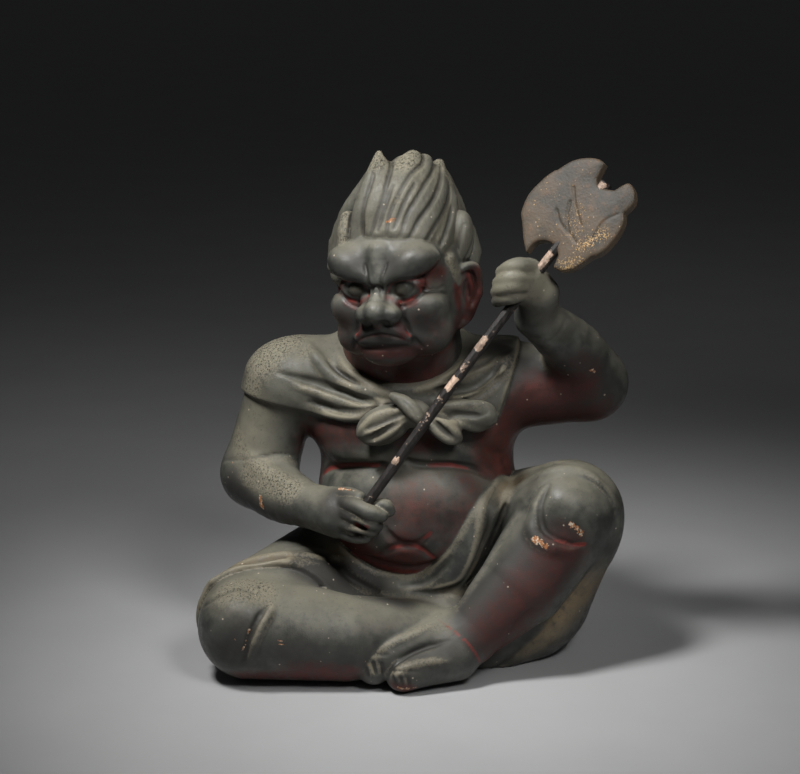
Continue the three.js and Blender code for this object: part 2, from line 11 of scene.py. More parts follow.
import bpy
import numpy as np
from bpy.props import FloatProperty, FloatVectorProperty, PointerProperty
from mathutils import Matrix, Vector


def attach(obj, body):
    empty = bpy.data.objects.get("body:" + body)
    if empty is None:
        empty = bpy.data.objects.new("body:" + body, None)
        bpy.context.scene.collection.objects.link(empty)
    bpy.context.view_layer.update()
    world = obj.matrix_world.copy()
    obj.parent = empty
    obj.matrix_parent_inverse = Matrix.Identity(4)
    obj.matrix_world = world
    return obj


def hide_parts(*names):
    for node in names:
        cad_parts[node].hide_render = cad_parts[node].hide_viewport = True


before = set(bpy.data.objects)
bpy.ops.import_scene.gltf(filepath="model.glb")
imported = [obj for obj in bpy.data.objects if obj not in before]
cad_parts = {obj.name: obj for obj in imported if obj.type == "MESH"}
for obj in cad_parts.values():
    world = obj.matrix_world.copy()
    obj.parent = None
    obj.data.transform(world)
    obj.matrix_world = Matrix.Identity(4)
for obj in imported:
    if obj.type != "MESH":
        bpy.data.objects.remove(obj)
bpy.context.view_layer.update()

bl_info = {
    "name": "Seated demon with an axe",
    "version": (1, 0, 0),
    "blender": (4, 5, 0),
    "location": "3D View > Sidebar > Demon",
    "description": "Carves, lacquers and lights a seated demon figure with a long-handled axe",
    "category": "Object",
}

STANDS = np.array([9.4346, -12.7645, 0.0])  # middle of the footprint, in the carver's block
FAR = 60.0  # distance held by samples that no solid has reached
KEPT_REACH = 12  # how far round an added solid its distance is written
CLOTH = 3.4  # thickness of the carved trousers and shoulder cloth
ON_GROUND = 0.45  # points nearer to the ground than this are laid flat on it
BODY_TRIANGLES, HEAD_TRIANGLES, BLADE_TRIANGLES = 190000, 170000, 40000

# Joints of the body, in the carver's block
HIP_R, KNEE_R, ANKLE_R = (-12, 28, 46), (-95, -68, 37), (18, -60, 24)
HIP_L, KNEE_L, CALF_L, ANKLE_L = (52, 26, 50), (107, -38, 97), (78, -58, 58), (43, -72, 27)
SHOULDER_R, ELBOW_R, WRIST_R = (-72, 4, 171), (-93, 4, 112), (-58, -42, 104)
SHOULDER_L, ELBOW_L, WRIST_L = (70, 4, 170), (121, 0, 173), (84, -37, 224)
HAFT_FOOT, HAFT_MIDDLE, HAFT_TIP = (-21.5, -81.6, 115), (42.5, -69.5, 203.5), (124.8, -50, 309.2)
BLADE_ALONG = (0.597, 0.129, 0.792)
BLADE_FRONT = (-0.4, -0.808, 0.433)


# Shapes. Each is its lowest corner, its highest corner and its distance over arrays x, y and z.

def turned(yaw=0, pitch=0, roll=0):
    """A turn about Z, then X, then Y, in degrees, as a matrix whose columns are the turned axes."""
    angles = [math.radians(angle) for angle in (yaw, pitch, roll)]
    (cz, sz), (cx, sx), (cy, sy) = [(math.cos(angle), math.sin(angle)) for angle in angles]
    about_z = np.array([[cz, -sz, 0], [sz, cz, 0], [0, 0, 1]])
    about_x = np.array([[1, 0, 0], [0, cx, -sx], [0, sx, cx]])
    about_y = np.array([[cy, 0, sy], [0, 1, 0], [-sy, 0, cy]])
    return about_z @ about_x @ about_y


BODY = (np.zeros(3), np.eye(3))
HEAD = (np.array([2.5, -24.5, 243]), turned(-21, 2, -5))


def placed(point, place):
    """A point of a place, in the block: the place's origin plus the point along its axes."""
    return place[0] + place[1] @ np.array(point, float)


def egg(centre, radii, place=BODY, tilt=0):
    """An ellipsoid: with k the scaled radius of a point and g the scaled slope, k (k - 1) / g."""
    c = placed(centre, place)
    axes = place[1] @ turned(roll=tilt)
    radii = np.array(radii, float)

    def distance(x, y, z):
        dx, dy, dz = x - c[0], y - c[1], z - c[2]
        parts = [(axes[0, k] * dx + axes[1, k] * dy + axes[2, k] * dz) / radii[k] for k in range(3)]
        size = np.sqrt(parts[0] ** 2 + parts[1] ** 2 + parts[2] ** 2)
        slope = np.sqrt(sum((part / radius) ** 2 for part, radius in zip(parts, radii)))
        return size * (size - 1) / np.maximum(slope, 1e-6)

    return c - radii.max(), c + radii.max(), distance


def through(points, count=7):
    """A smooth line through points: between two of them, the cubic whose slopes are half the step
    from the point before to the point after."""
    p = np.array(points, float)
    p = np.vstack([2 * p[0] - p[1], p, 2 * p[-1] - p[-2]])
    t = np.linspace(0, 1, count, endpoint=False)[:, None]
    lines = [
        0.5 * (2 * b + (c - a) * t + (2 * a - 5 * b + 4 * c - d) * t**2 + (3 * b - a - 3 * c + d) * t**3)
        for a, b, c, d in zip(p, p[1:], p[2:], p[3:])
    ]
    return np.vstack(lines + [p[-2:-1]])


def strand(points, radii, place=BODY):
    """Round links from point to point: the distance to each link's line, less a radius that changes
    evenly along it, and the least of them."""
    p = np.array([placed(point, place) for point in points])
    radii = np.broadcast_to(np.array(radii, float), len(p))

    def distance(x, y, z):
        best = None
        for a, b, first, last in zip(p, p[1:], radii, radii[1:]):
            along = b - a
            share = ((x - a[0]) * along[0] + (y - a[1]) * along[1] + (z - a[2]) * along[2]) / (along @ along)
            share = np.clip(share, 0, 1)
            gap = (x - a[0] - share * along[0]) ** 2
            gap = gap + (y - a[1] - share * along[1]) ** 2
            gap = gap + (z - a[2] - share * along[2]) ** 2
            link = np.sqrt(gap) - first - share * (last - first)
            best = link if best is None else np.minimum(best, link)
        return best

    return p.min(0) - radii.max(), p.max(0) + radii.max(), distance


def curve(points, radii, place=BODY):
    """A strand along the smooth line through points, its radius changing smoothly too."""
    radii = np.broadcast_to(np.array(radii, float), len(points))
    smooth = through([(*placed(point, place), radius) for point, radius in zip(points, radii)], 4)
    return strand(smooth[:, :3], smooth[:, 3])


def almond(centre, half_width, half_height, depth, place=BODY, tilt=0):
    """An eye-shaped hole along y: its half-height falls to nothing at its corners as one less the
    square of the share of the half-width, and the distance is divided by the steepness of that edge."""
    c = placed(centre, place)
    axes = place[1] @ turned(roll=tilt)

    def distance(x, y, z):
        dx, dy, dz = x - c[0], y - c[1], z - c[2]
        u, v, w = [axes[0, k] * dx + axes[1, k] * dy + axes[2, k] * dz for k in range(3)]
        share = u / half_width
        edge = np.abs(w) - half_height * (1 - share * share)
        edge = edge / np.sqrt(1 + (2 * share * half_height / half_width) ** 2)
        return np.maximum(edge, np.abs(v) - depth)

    return c - half_width - depth, c + half_width + depth, distance


def soft_least(a, b, blend):
    """The smaller of two distances, rounded off where they are within the blend of each other."""
    if blend <= 0:
        return np.minimum(a, b)
    overlap = np.maximum(blend - np.abs(a - b), 0) / blend
    return np.minimum(a, b) - overlap * overlap * blend / 4


class Clay:
    """A box of samples on a lattice: each is the distance to the surface, negative inside."""

    def __init__(self, low, high, step):
        self.step = step
        self.first = np.floor(np.array(low) / step).astype(int)
        self.size = np.ceil(np.array(high) / step).astype(int) - self.first + 1
        self.samples = np.full(self.size, FAR, np.float32)

    def work(self, shape, reach, rule):
        """Changes the samples within reach of a shape by a rule of the old value and the distance."""
        low, high, distance = shape
        start = np.clip(np.floor((low - reach) / self.step).astype(int) - self.first, 0, self.size)
        end = np.clip(np.ceil((high + reach) / self.step).astype(int) - self.first + 1, 0, self.size)
        if np.any(end <= start):
            return self
        window = tuple(slice(a, b) for a, b in zip(start, end))
        spans = [np.arange(a, b) + f for a, b, f in zip(start, end, self.first)]
        x, y, z = np.ix_(*[(span * self.step).astype(np.float32) for span in spans])
        self.samples[window] = rule(self.samples[window], distance(x, y, z))
        return self

    def add(self, shape, blend=0):
        """Adds a shape: the soft least of the old distance and its own."""
        return self.work(shape, blend + KEPT_REACH, lambda old, d: soft_least(old, d, blend))

    def cut(self, shape, blend=0):
        """Takes a shape away: less the soft least of the old distance turned over and its own."""
        return self.work(shape, blend, lambda old, d: -soft_least(-old, d, blend))

    def join(self, other, blend=0):
        """Blends in another box of clay on the same lattice, where the two boxes overlap."""
        start = np.maximum(self.first, other.first)
        end = np.minimum(self.first + self.size, other.first + other.size)
        mine = tuple(slice(a, b) for a, b in zip(start - self.first, end - self.first))
        theirs = tuple(slice(a, b) for a, b in zip(start - other.first, end - other.first))
        self.samples[mine] = soft_least(self.samples[mine], other.samples[theirs], blend)
        return self

    def tapered(self, line, radius, place, sink):
        """A strand along a smooth line, laid on the surface by sliding its points along the slope and
        sunk by a depth, that is thickest in the middle and thins towards both ends."""
        points = through([placed(point, place) for point in line])
        for _ in range(8):
            points = points - self.at(points)[:, None] * self.slope(points)
        points = points - sink * self.slope(points)
        share = np.linspace(0, 1, len(points))
        return strand(points, radius * np.minimum(1, 0.2 + 4 * np.minimum(share, 1 - share)))

    def groove(self, line, radius, blend=1.5, place=BODY, sink=0):
        """Cuts a tapered strand out of the surface along a line."""
        return self.cut(self.tapered(line, radius, place, sink), blend)

    def ridge(self, line, radius, blend=2, place=BODY, sink=0):
        """Lays a tapered strand on the surface along a line."""
        return self.add(self.tapered(line, radius, place, sink), blend)

    def coat(self, thickness, region, blend):
        """Grows the clay by a thickness and keeps what lies inside a region."""
        self.samples -= thickness
        everywhere = (self.first * self.step, (self.first + self.size) * self.step, region)
        return self.work(everywhere, 0, lambda old, d: -soft_least(-old, d, blend))

    def at(self, points):
        """The distance at points of the block, mixed from the eight samples around each."""
        p = np.clip(points / self.step - self.first, 0, self.size - 1.001)
        base = np.floor(p).astype(np.int64)
        share = (p - base).astype(np.float32)
        flat = self.samples.reshape(-1)
        stride = np.array([self.size[1] * self.size[2], self.size[2], 1])
        at = base @ stride
        total = 0
        for corner in np.ndindex(2, 2, 2):
            weight = np.prod(np.where(corner, share, 1 - share), axis=1)
            total = total + weight * flat[at + corner @ stride]
        return total

    def slope(self, points):
        """The direction in which the distance grows at each point, of length one."""
        reach = 0.75 * self.step
        ways = reach * np.eye(3)
        rise = np.stack([self.at(points + way) - self.at(points - way) for way in ways], 1)
        return rise / np.maximum(np.linalg.norm(rise, axis=1, keepdims=True), 1e-6)


CORNERS = np.array(list(np.ndindex(2, 2, 2)))


def skin(clay):
    """The surface where the samples change sign. Each lattice cell that it crosses gets a point, the
    mean of the crossings on the cell's edges, and each crossed lattice edge gets the quad of the four
    cells around it. The points are then slid along the slope on to the surface."""
    s = clay.samples
    inside = s < 0
    spans = [tuple(slice(k, n - 1 + k) for k, n in zip(corner, s.shape)) for corner in CORNERS]
    full = sum(inside[span].astype(np.uint8) for span in spans)
    cells = np.argwhere((full > 0) & (full < 8))
    number = np.full(full.shape, -1, np.int64)
    number[tuple(cells.T)] = np.arange(len(cells))
    values = np.stack([s[tuple((cells + c).T)] for c in CORNERS], 1)
    total = np.zeros((len(cells), 3), np.float32)
    count = np.zeros(len(cells), np.float32)
    for a in range(8):
        for b in range(a + 1, 8):
            if np.abs(CORNERS[a] - CORNERS[b]).sum() != 1:
                continue
            crossed = (values[:, a] < 0) != (values[:, b] < 0)
            share = np.where(crossed, values[:, a] / np.where(crossed, values[:, a] - values[:, b], 1), 0)
            spot = CORNERS[a] + share[:, None] * (CORNERS[b] - CORNERS[a])
            total += np.where(crossed[:, None], spot, 0)
            count += crossed
    points = (cells + total / count[:, None] + clay.first) * clay.step
    quads = []
    for axis in range(3):
        u, v = np.eye(3, dtype=int)[(axis + 1) % 3], np.eye(3, dtype=int)[(axis + 2) % 3]
        low = np.take(inside, range(s.shape[axis] - 1), axis)
        high = np.take(inside, range(1, s.shape[axis]), axis)
        for crossed, order in ((low & ~high, 1), (high & ~low, -1)):
            edges = np.argwhere(crossed)
            ring = [number[tuple((edges - move).T)] for move in (u + v, v, 0 * u, u)]
            quads.append(np.stack(ring[::order], 1))
    for _ in range(2):
        step = clay.at(points)[:, None] * clay.slope(points)
        points = points - np.clip(step, -0.4 * clay.step, 0.4 * clay.step)
    return points, np.concatenate(quads)


# The carving. The creases of the trunk are named, because they are painted red as well.

BREAST_CREASE_R = [(-50, -12, 116), (-44, -17, 121), (-35, -28, 126), (-25, -37, 129.5), (-13, -44, 130.5),
                   (-6, -47, 130)]
BREAST_CREASE_L = [(3, -50, 135), (10, -49.5, 132.6), (19, -47, 131.4), (31, -44, 131), (41, -40, 127.5),
                   (49, -36, 121), (54, -30, 113)]
NAVEL_FOLD = [(-9, -59, 94), (-7, -60, 90), (-3, -60, 86), (3, -60, 84), (9, -60, 84), (14, -61, 86.6),
              (19, -60, 92)]
BELLY_FOLD = [(-14, -53, 73), (-10, -55, 77), (-4, -57, 81), (3, -58, 82.6), (9, -58, 82.4),
              (15, -57, 79.6), (21, -55, 74)]


def carve_trunk(step, with_neck):
    """The belly, chest and shoulders, the roll under the breast, its crease, and the folds of the navel."""
    trunk = Clay((-112, -84, -16), (110, 88, 258), step)
    trunk.add(egg((16, 8, 60), (60, 52, 50)))
    trunk.add(egg((12, -8, 96), (64, 54, 51)), 12)
    trunk.add(egg((8, -2, 150), (66, 46, 40)), 8)
    trunk.add(strand([(-28, 0, 108), (-27, 0, 140)], 23), 8)
    trunk.add(strand([(49, 0, 108), (49, 0, 142)], 24), 8)
    trunk.add(strand([(-60, 5, 171), (68, 5, 171)], 28), 14)
    if with_neck:
        trunk.add(NECK, 12)
    trunk.ridge([(-46, -22, 132), (-34, -34, 134), (-22, -41, 136), (-8, -46, 138)], 5.5, 7, sink=2.6)
    trunk.ridge([(6, -47, 139), (18, -47, 140), (30, -45, 138), (44, -38, 134), (54, -28, 128)], 5.5, 7,
                sink=2.6)
    trunk.groove(BREAST_CREASE_R, 1.3, 3.5)
    trunk.groove(BREAST_CREASE_L, 1.4, 3.5)
    trunk.groove(NAVEL_FOLD, 1.8, 3.4)
    trunk.groove(BELLY_FOLD, 1.5, 3.4)
    return trunk.groove([(-22, -46, 72), (-10, -50, 68.5), (5, -52, 66.5), (18, -52, 69), (28, -50, 74)], 1, 4)


LAP_ROLL = (
    (-50, -20, 78), (-38, -28, 67), (-29, -34, 58), (-17, -37, 50.5), (0, -41, 47.5), (15, -43.5, 49.5),
    (28, -46.5, 58), (37, -48, 72), (43.5, -47, 87), (51, -41, 99), (60, -29, 107),
)


def carve_thighs(step):
    """The hips, both thighs, the lap that the trousers cross, and the ground under them."""
    thighs = Clay((-138, -112, -16), (152, 92, 142), step)
    thighs.add(egg((18, 24, 44), (66, 54, 44)))
    thighs.add(strand([HIP_R, KNEE_R], (43, 30)), 6)
    thighs.add(strand([HIP_L, KNEE_L], (46, 31)), 10)
    thighs.add(strand([(102, -30, 78), (86, -16, 38), HIP_L], (31, 35, 40)), 14)
    thighs.add(strand([(78, -28, 30), (52, -42, 22)], (29, 25)), 12)
    thighs.add(strand([(-70, -34, 12), (0, -40, 12), (60, -20, 14)], 16), 12)
    thighs.add(curve([(-50, -42, 40), (-24, -46, 32), (4, -50, 30), (28, -50, 33)], (12, 14, 15, 14)), 10)
    thighs.add(curve(LAP_ROLL, (8, 9, 9, 9, 9, 9, 9, 9, 9, 9, 8)), 7)
    return thighs.add(egg((16, -8, 12), (78, 58, 18)), 10)


def trousers_region(x, y, z):
    """Below a waist line that dips at the belly, and behind the hems over the knees."""
    waist = 63 + 0.5 * np.maximum(0, -x) + 0.022 * np.maximum(0, x) ** 2 + 0.35 * (y + 50) - z
    hem = y + 54 + 20 * np.exp(-(((x - 2) / 38) ** 2)) + 0.08 * np.maximum(0, -x)
    return np.minimum(waist, hem)


def carve_trousers(step):
    """A coat over the hips and thighs, with a rolled edge along both hems and at the waist."""
    trousers = carve_thighs(step).coat(CLOTH, trousers_region, 1.6)
    for hem, radius, sink in (
        ([(-124, -58, 50), (-116, -61, 59), (-101, -64, 67.5), (-86, -63, 70.5), (-74, -59, 72),
          (-62, -56, 70), (-52, -52, 66)], 2.4, 1),
        ([(-118, -50, 62), (-102, -52, 73), (-86, -53, 77), (-72, -52, 78), (-58, -51, 75), (-46, -47, 71),
          (-37, -43, 69)], 2, 1),
        ([(56, -48, 99), (63, -41, 106), (70, -39, 112.5), (80, -41, 119.5), (88, -44, 125),
          (97, -46, 128.5), (106, -48, 129.5), (117, -50, 126), (125, -52, 118), (131, -52, 108),
          (134, -52, 96)], 2.4, 1.2),
        ([(-38, -36, 75), (-30, -41, 67), (-18, -43, 60), (0, -46, 57), (16, -48, 59), (28, -52, 68),
          (36, -56, 82), (42, -56, 96), (50, -49, 108), (60, -36, 117)], 2, 0.9),
        ([(62, -32, 117), (54, -44, 110), (49, -50, 98), (45, -53, 84), (40, -53, 71), (32, -51, 60),
          (20, -54, 52)], 1.8, 0.6),
        ([(58, -30, 122), (70, -24, 125), (84, -30, 129), (98, -38, 132), (110, -42, 131)], 2, 1),
    ):
        trousers.ridge(hem, radius, 3, sink=sink)
    for fold in (
        [(53, -46, 100), (48.5, -50, 88), (43, -52, 74), (36, -51, 62), (24, -52, 53), (8, -52, 49)],
        [(34, -54, 74), (28, -52, 64), (18, -51, 56), (2, -49, 52)],
        [(60, -38, 103), (55, -42, 92), (51, -44, 80), (46, -44, 68), (38, -46, 57)],
        [(-60, -46, 78), (-44, -46, 68), (-30, -50, 58), (-14, -54, 51)],
        [(-104, -58, 71), (-88, -59, 74.5), (-72, -56, 76)],
    ):
        trousers.groove(fold, 1.4, 3.5)
    return trousers


def carve_shins(step):
    """Both bare shins, from the knees to the ankles, with the kneecaps and their folds."""
    shins = Clay((-138, -118, -16), (148, -8, 142), step)
    shins.add(strand([(-93, -71, 34), (-34, -76, 28), ANKLE_R], (33, 27, 22)))
    shins.add(strand([KNEE_L, CALF_L, ANKLE_L], (31.5, 27, 17)))
    shins.add(egg((103.5, -49, 104), (21.5, 22.5, 22)), 6)
    shins.ridge([(86, -58, 119), (81.5, -64, 110), (80.5, -68, 100), (85, -71, 91), (94, -72, 86),
                 (104, -70, 84)], 4.4, 5, sink=1.6)
    shins.groove([(92, -58, 122), (86.5, -66, 114), (86, -70, 106), (89, -73, 98), (96, -74, 92),
                  (106, -73, 88), (114, -69, 87)], 1.5, 2.6)
    shins.add(egg((-99, -82, 44), (21, 20.5, 20)), 8)
    shins.ridge([(-77, -96, 57), (-81, -98, 51), (-85.5, -100, 44), (-89, -101, 36), (-92, -100, 27)], 3, 4,
                sink=1)
    shins.groove([(-80, -96, 58), (-84, -98.5, 51), (-88.5, -101, 44), (-92, -102, 36), (-95, -101, 26),
                  (-98, -99, 20)], 1.8, 2)
    shins.groove([(-121, -82, 50), (-117, -88, 57), (-108, -89, 61), (-97, -88, 62), (-88, -90, 58)], 0.9, 2.6)
    shins.groove([(21, -82, 40.5), (27, -86, 37), (33, -90, 34), (38, -92, 31.5), (43, -93, 27),
                  (46, -91, 19), (47, -88, 12)], 0.9, 1)
    shins.ridge([(88, -50, 122), (80, -48, 116), (71, -50, 108.5), (64, -53, 100), (57, -56, 90),
                 (51, -60, 79), (46, -63, 70), (41, -66, 62), (34, -70, 55), (25, -75, 49)], 2.6, 5, sink=1)
    shins.groove([(88, -84, 50), (80, -86, 48), (73, -86, 42), (68, -84, 33), (63, -76, 16), (58, -66, 6)],
                 1, 2)
    return shins


def carve_foot(step):
    """The left foot: two clawed toes, each with a ridge along its top and three nicks in its nail."""
    foot = Clay((-42, -118, -14), (68, -46, 66), step)
    foot.add(strand([ANKLE_L, (30, -79, 19)], (18, 17)))
    foot.add(curve([(32, -70, 31), (12, -79, 26), (-7, -86.5, 21), (-16, -88.5, 14)], (14, 13, 12.2, 11.2)), 4)
    foot.add(curve([(34, -80, 18), (16, -89, 15), (2, -95, 12)], (16, 13, 11.4)), 1.4)
    foot.groove([(30, -90, 31), (20, -91, 28), (9, -94, 24), (0, -98, 17), (-7, -98, 8)], 1.5, 2)
    foot.ridge([(30, -96, 20), (20, -100, 21.5), (9, -103, 21), (0, -105, 17), (-4, -105, 10)], 2, 3, sink=0.8)
    foot.ridge([(22, -82, 42), (8, -89, 36), (-5, -93, 31), (-15, -97, 25), (-21, -98, 17)], 2, 3, sink=0.8)
    for line in (
        [(-5, -104, 15), (-3, -105, 11), (-2, -105, 6)], [(0, -106, 15), (1, -106.5, 11), (2, -106.5, 6)],
        [(5, -106, 14), (6, -106.5, 10), (7, -106, 6)], [(-22, -96, 20), (-20, -98, 15), (-19, -98, 10)],
        [(-17, -98, 22), (-15.5, -99.5, 17), (-14, -99.5, 12)],
        [(-12, -99, 22), (-10.5, -100, 17), (-10, -99.5, 12)],
    ):
        foot.groove(line, 1.4, 1)
    foot.groove([(-9, -104, 19), (-3, -106, 18.4), (4, -107, 18), (11, -105.5, 17)], 0.8, 1.2)
    foot.groove([(-25, -93, 25), (-20, -96.5, 26), (-13, -98.6, 26), (-7, -99, 25)], 0.8, 1.2)
    return foot


def carve_right_arm(step):
    """The lowered right arm, from the shoulder to the wrist, with the joiner's lines."""
    arm = Clay((-132, -70, 72), (-20, 48, 214), step)
    arm.add(strand([SHOULDER_R, (-84, 5, 145), ELBOW_R], (26, 21, 22)))
    arm.add(strand([(-77, 3, 152), (-83.5, 2, 126)], 20), 4)
    arm.add(curve([ELBOW_R, (-76, -22, 106), WRIST_R], (21, 18.5, 14)), 8)
    arm.ridge([(-96, -22, 128), (-84, -30, 122), (-72, -38, 117)], 3, 8, sink=1.6)
    arm.groove([(-114, -2, 121), (-112, -6, 123), (-104, -14, 125.5), (-94, -19, 128), (-84, -18, 129.5),
                (-76, -14, 130), (-69, -8, 128)], 0.8, 1)
    return arm.groove([(-70, -44, 118), (-66, -51, 114), (-60, -58, 110), (-55, -62, 107), (-53, -64, 102)],
                      0.8, 1)


def carve_left_arm(step):
    """The raised left arm, from the shoulder to the wrist."""
    arm = Clay((28, -66, 126), (160, 48, 254), step)
    arm.add(strand([SHOULDER_L, ELBOW_L], (28, 24)))
    arm.add(curve([ELBOW_L, (110, -18, 198), WRIST_L], (22, 18.5, 13)), 8)
    return arm.groove([(100, -36, 222), (95, -42, 214), (88, -44, 208)], 0.6, 1)


def carve_right_fist(step):
    """The right fist, low on the haft: the palm, four curled fingers and the thumb's tip beyond the haft."""
    fist = Clay((-76, -104, 76), (8, -24, 136), step)
    fist.add(strand([WRIST_R, (-38, -60, 104)], (14, 15.5)))
    fist.add(strand([(-33, -64, 105), (-22, -74, 105)], (11.5, 9)), 4)
    fist.add(curve([(-42, -57, 115), (-32, -67, 118), (-25, -75, 118.5)], (5, 5.2, 4.4)), 3)
    fist.add(curve([(-35, -68, 113), (-28, -79, 115), (-19, -85.5, 113), (-11, -84, 110)], (5, 5, 4.8, 4)), 1.2)
    fist.add(curve([(-19, -76, 112), (-10, -80, 115), (-6.5, -80.5, 112)], (5, 5, 4)), 0.8)
    fist.add(curve([(-36, -70, 109), (-27, -80, 108), (-18, -83, 105), (-14, -79, 102)], (5, 4.8, 4.5, 4)), 1)
    fist.add(curve([(-36, -71, 102), (-27, -79, 101), (-19, -79.5, 99), (-16, -75, 97)],
                   (4.8, 4.6, 4.2, 3.6)), 1)
    fist.add(curve([(-37, -67, 95), (-28, -75, 94), (-21, -75, 93.5)], (4.8, 4.4, 3.8)), 1)
    fist.cut(egg((-24, -84, 103.6), (5, 3, 1.6), tilt=20), 1)
    fist.cut(egg((-25, -81, 97.4), (6, 3, 1.2), tilt=10), 1)
    return fist


def carve_left_fist(step):
    """The left fist, high on the haft: four fingers stacked across it, and the back of the hand."""
    fist = Clay((40, -92, 208), (112, -18, 282), step)
    fist.add(strand([WRIST_L, (85, -50, 241), (78, -55, 253)], (13.4, 12.6, 10.6)))
    fist.add(egg((75, -57, 250), (11, 10, 14), tilt=12), 4)
    for points, radii in (
        ([(78, -61, 259.5), (72, -66.5, 261.6), (66, -66, 260), (61.5, -60.5, 256.5)], (5, 5.4, 5, 4)),
        ([(76, -64.5, 253.5), (69.5, -69.2, 255), (63.5, -68, 253.4), (59.5, -61.5, 250)], (4.8, 5.1, 4.8, 4)),
        ([(74, -65.5, 249.6), (68, -70, 250.3), (62, -67.8, 248), (58.5, -61, 244.4)], (4.8, 5, 4.8, 4)),
        ([(72, -63, 243.4), (67, -67.5, 243), (62, -65, 241.4), (59, -59.5, 238.5)], (4.6, 4.9, 4.6, 3.8)),
    ):
        fist.add(curve(points, radii), 1)
    return fist


def cloth_region(x, y, z):
    """Below the neckline, above the hem over the breast, and not past the left shoulder."""
    neck = 178 + 0.5 * (y + 50) - z
    hem = z - 158 - 0.2 * np.maximum(0, -x - 50)
    left = 64 + 0.35 * (z - 163) - x
    return np.minimum(np.minimum(neck, hem), left)


def carve_cloth(body):
    """The shoulder cloth: a coat over the shoulders, with its folds running to the knot."""
    cloth = body.coat(CLOTH, cloth_region, 2.6)
    for points, radius, blend, sink in (
        ([(-7, -54, 176), (-18, -50, 177), (-28, -43, 178.5), (-38, -33, 181), (-47, -23, 188),
          (-54, -15, 195), (-58, -6, 201)], 4.6, 3, 1),
        ([(-10, -56, 171), (-20, -50, 170), (-30, -42, 169.5), (-40, -34, 170.5), (-52, -27, 173),
          (-66, -23, 176)], 3.8, 2.6, 1),
        ([(-8, -56, 173), (-15, -55, 169), (-25, -47, 164.5), (-34, -40, 161.5), (-47, -32, 160)], 3, 3, 0.8),
        ([(22, -53, 174), (36, -48, 174.5), (48, -43, 177), (57, -37, 182), (64, -29, 189), (70, -16, 198)],
         4.2, 3, 1),
        ([(20, -48, 180), (30, -42, 183.5), (42, -33, 189), (53, -26, 193.5), (64, -18, 198)], 3.4, 4, 1),
        ([(-8, -49, 178), (-18, -43, 182), (-27, -36, 188), (-35, -26, 195), (-40, -12, 202)], 1.8, 3, 0.8),
        ([(10, -48, 179), (20, -43, 183), (29, -36, 188), (37, -26, 194), (43, -12, 200)], 1.8, 3, 0.8),
    ):
        cloth.ridge(points, radius, blend, sink=sink)
    for points, radius in (
        ([(-12, -56, 174), (-20, -51, 173.5), (-29, -43, 174), (-38, -35, 175.6), (-50, -27, 178.5),
          (-62, -24, 181), (-76, -22, 184.5)], 2.8),
        ([(-14, -55, 168), (-22, -50, 166.5), (-32, -43, 165), (-44, -35, 165), (-58, -29, 167)], 2),
        ([(-26, -40, 182), (-36, -31, 186), (-45, -22, 192)], 1),
        ([(24, -50, 179), (34, -46, 180.5), (46, -40, 183.5), (56, -33, 188.5), (63, -25, 194)], 2.8),
        ([(30, -45, 185.6), (42, -36, 190), (52, -28, 195), (60, -18, 199)], 1.8),
        ([(26, -53, 170), (40, -46, 171), (52, -40, 174), (62, -34, 180), (68, -26, 187)], 2.4),
    ):
        cloth.groove(points, radius, 2.2)
    return cloth


def carve_knot(step):
    """The knot over the breastbone: a crossing band, a loop to the right hand and two to the left."""
    knot = Clay((-44, -84, 132), (80, -20, 194), step)
    knot.add(egg((8, -55, 167), (11, 7.5, 9)))
    knot.add(egg((-10, -53, 159), (18, 9.5, 12), tilt=-24), 2)
    knot.add(egg((40, -47, 164.5), (21, 7.5, 9.5), tilt=8), 1)
    knot.add(egg((27, -54, 157), (14, 7.5, 7.5), tilt=38), 1)
    for line, radius, sink in (
        ([(-25, -53, 151), (-22, -58, 159), (-16, -60, 167), (-7, -62, 172), (3, -62, 174)], 2.4, 0.8),
        ([(-24, -56, 153), (-14, -62, 159), (-5, -65, 163), (4, -65, 167)], 2.4, 0.6),
        ([(-22, -56, 149), (-11, -60, 153), (-2, -64, 158), (5, -64, 163)], 2.4, 0.6),
        ([(18, -58, 171.5), (30, -55, 173), (44, -51, 172.5), (55, -46, 168), (60, -43, 161)], 3, 1),
        ([(20, -58, 165), (32, -56, 160), (44, -50, 157.5), (54, -45, 157), (60, -42, 161)], 3, 1),
        ([(19, -62, 168), (27, -63, 163), (34, -61, 157), (38, -57, 151)], 2.8, 0.8),
        ([(14, -61, 163), (20, -62, 156.5), (28, -60, 151.5), (36, -57, 149.5)], 2.8, 0.8),
    ):
        knot.ridge(line, radius, 1.6, sink=sink)
    for line, radius in (
        ([(-21, -61, 158), (-14, -64, 163), (-6, -66, 167.5), (2, -65.5, 170)], 1.5),
        ([(-20, -61, 152.5), (-12, -64, 156.5), (-4, -66.5, 161), (3, -66, 165)], 1.4),
        ([(20, -59, 169), (30, -57, 167), (42, -53, 165.5), (52, -48, 164)], 2),
        ([(20, -64, 164), (26, -64.5, 158.5), (32, -61.5, 153.5)], 1.3),
    ):
        knot.groove(line, radius, 1.8)
    knot.add(curve([(-4, -56, 178), (3, -60.5, 175), (9, -64, 169.5), (14, -64.5, 162)], (3, 4.6, 4.8, 3)), 0.8)
    return knot.groove([(0, -62, 178), (6, -66, 173.5), (11, -69, 167.5)], 0.7, 1.2)


NECK = strand([(2, 2, 180), (1, -14, 215)], (40, 36))


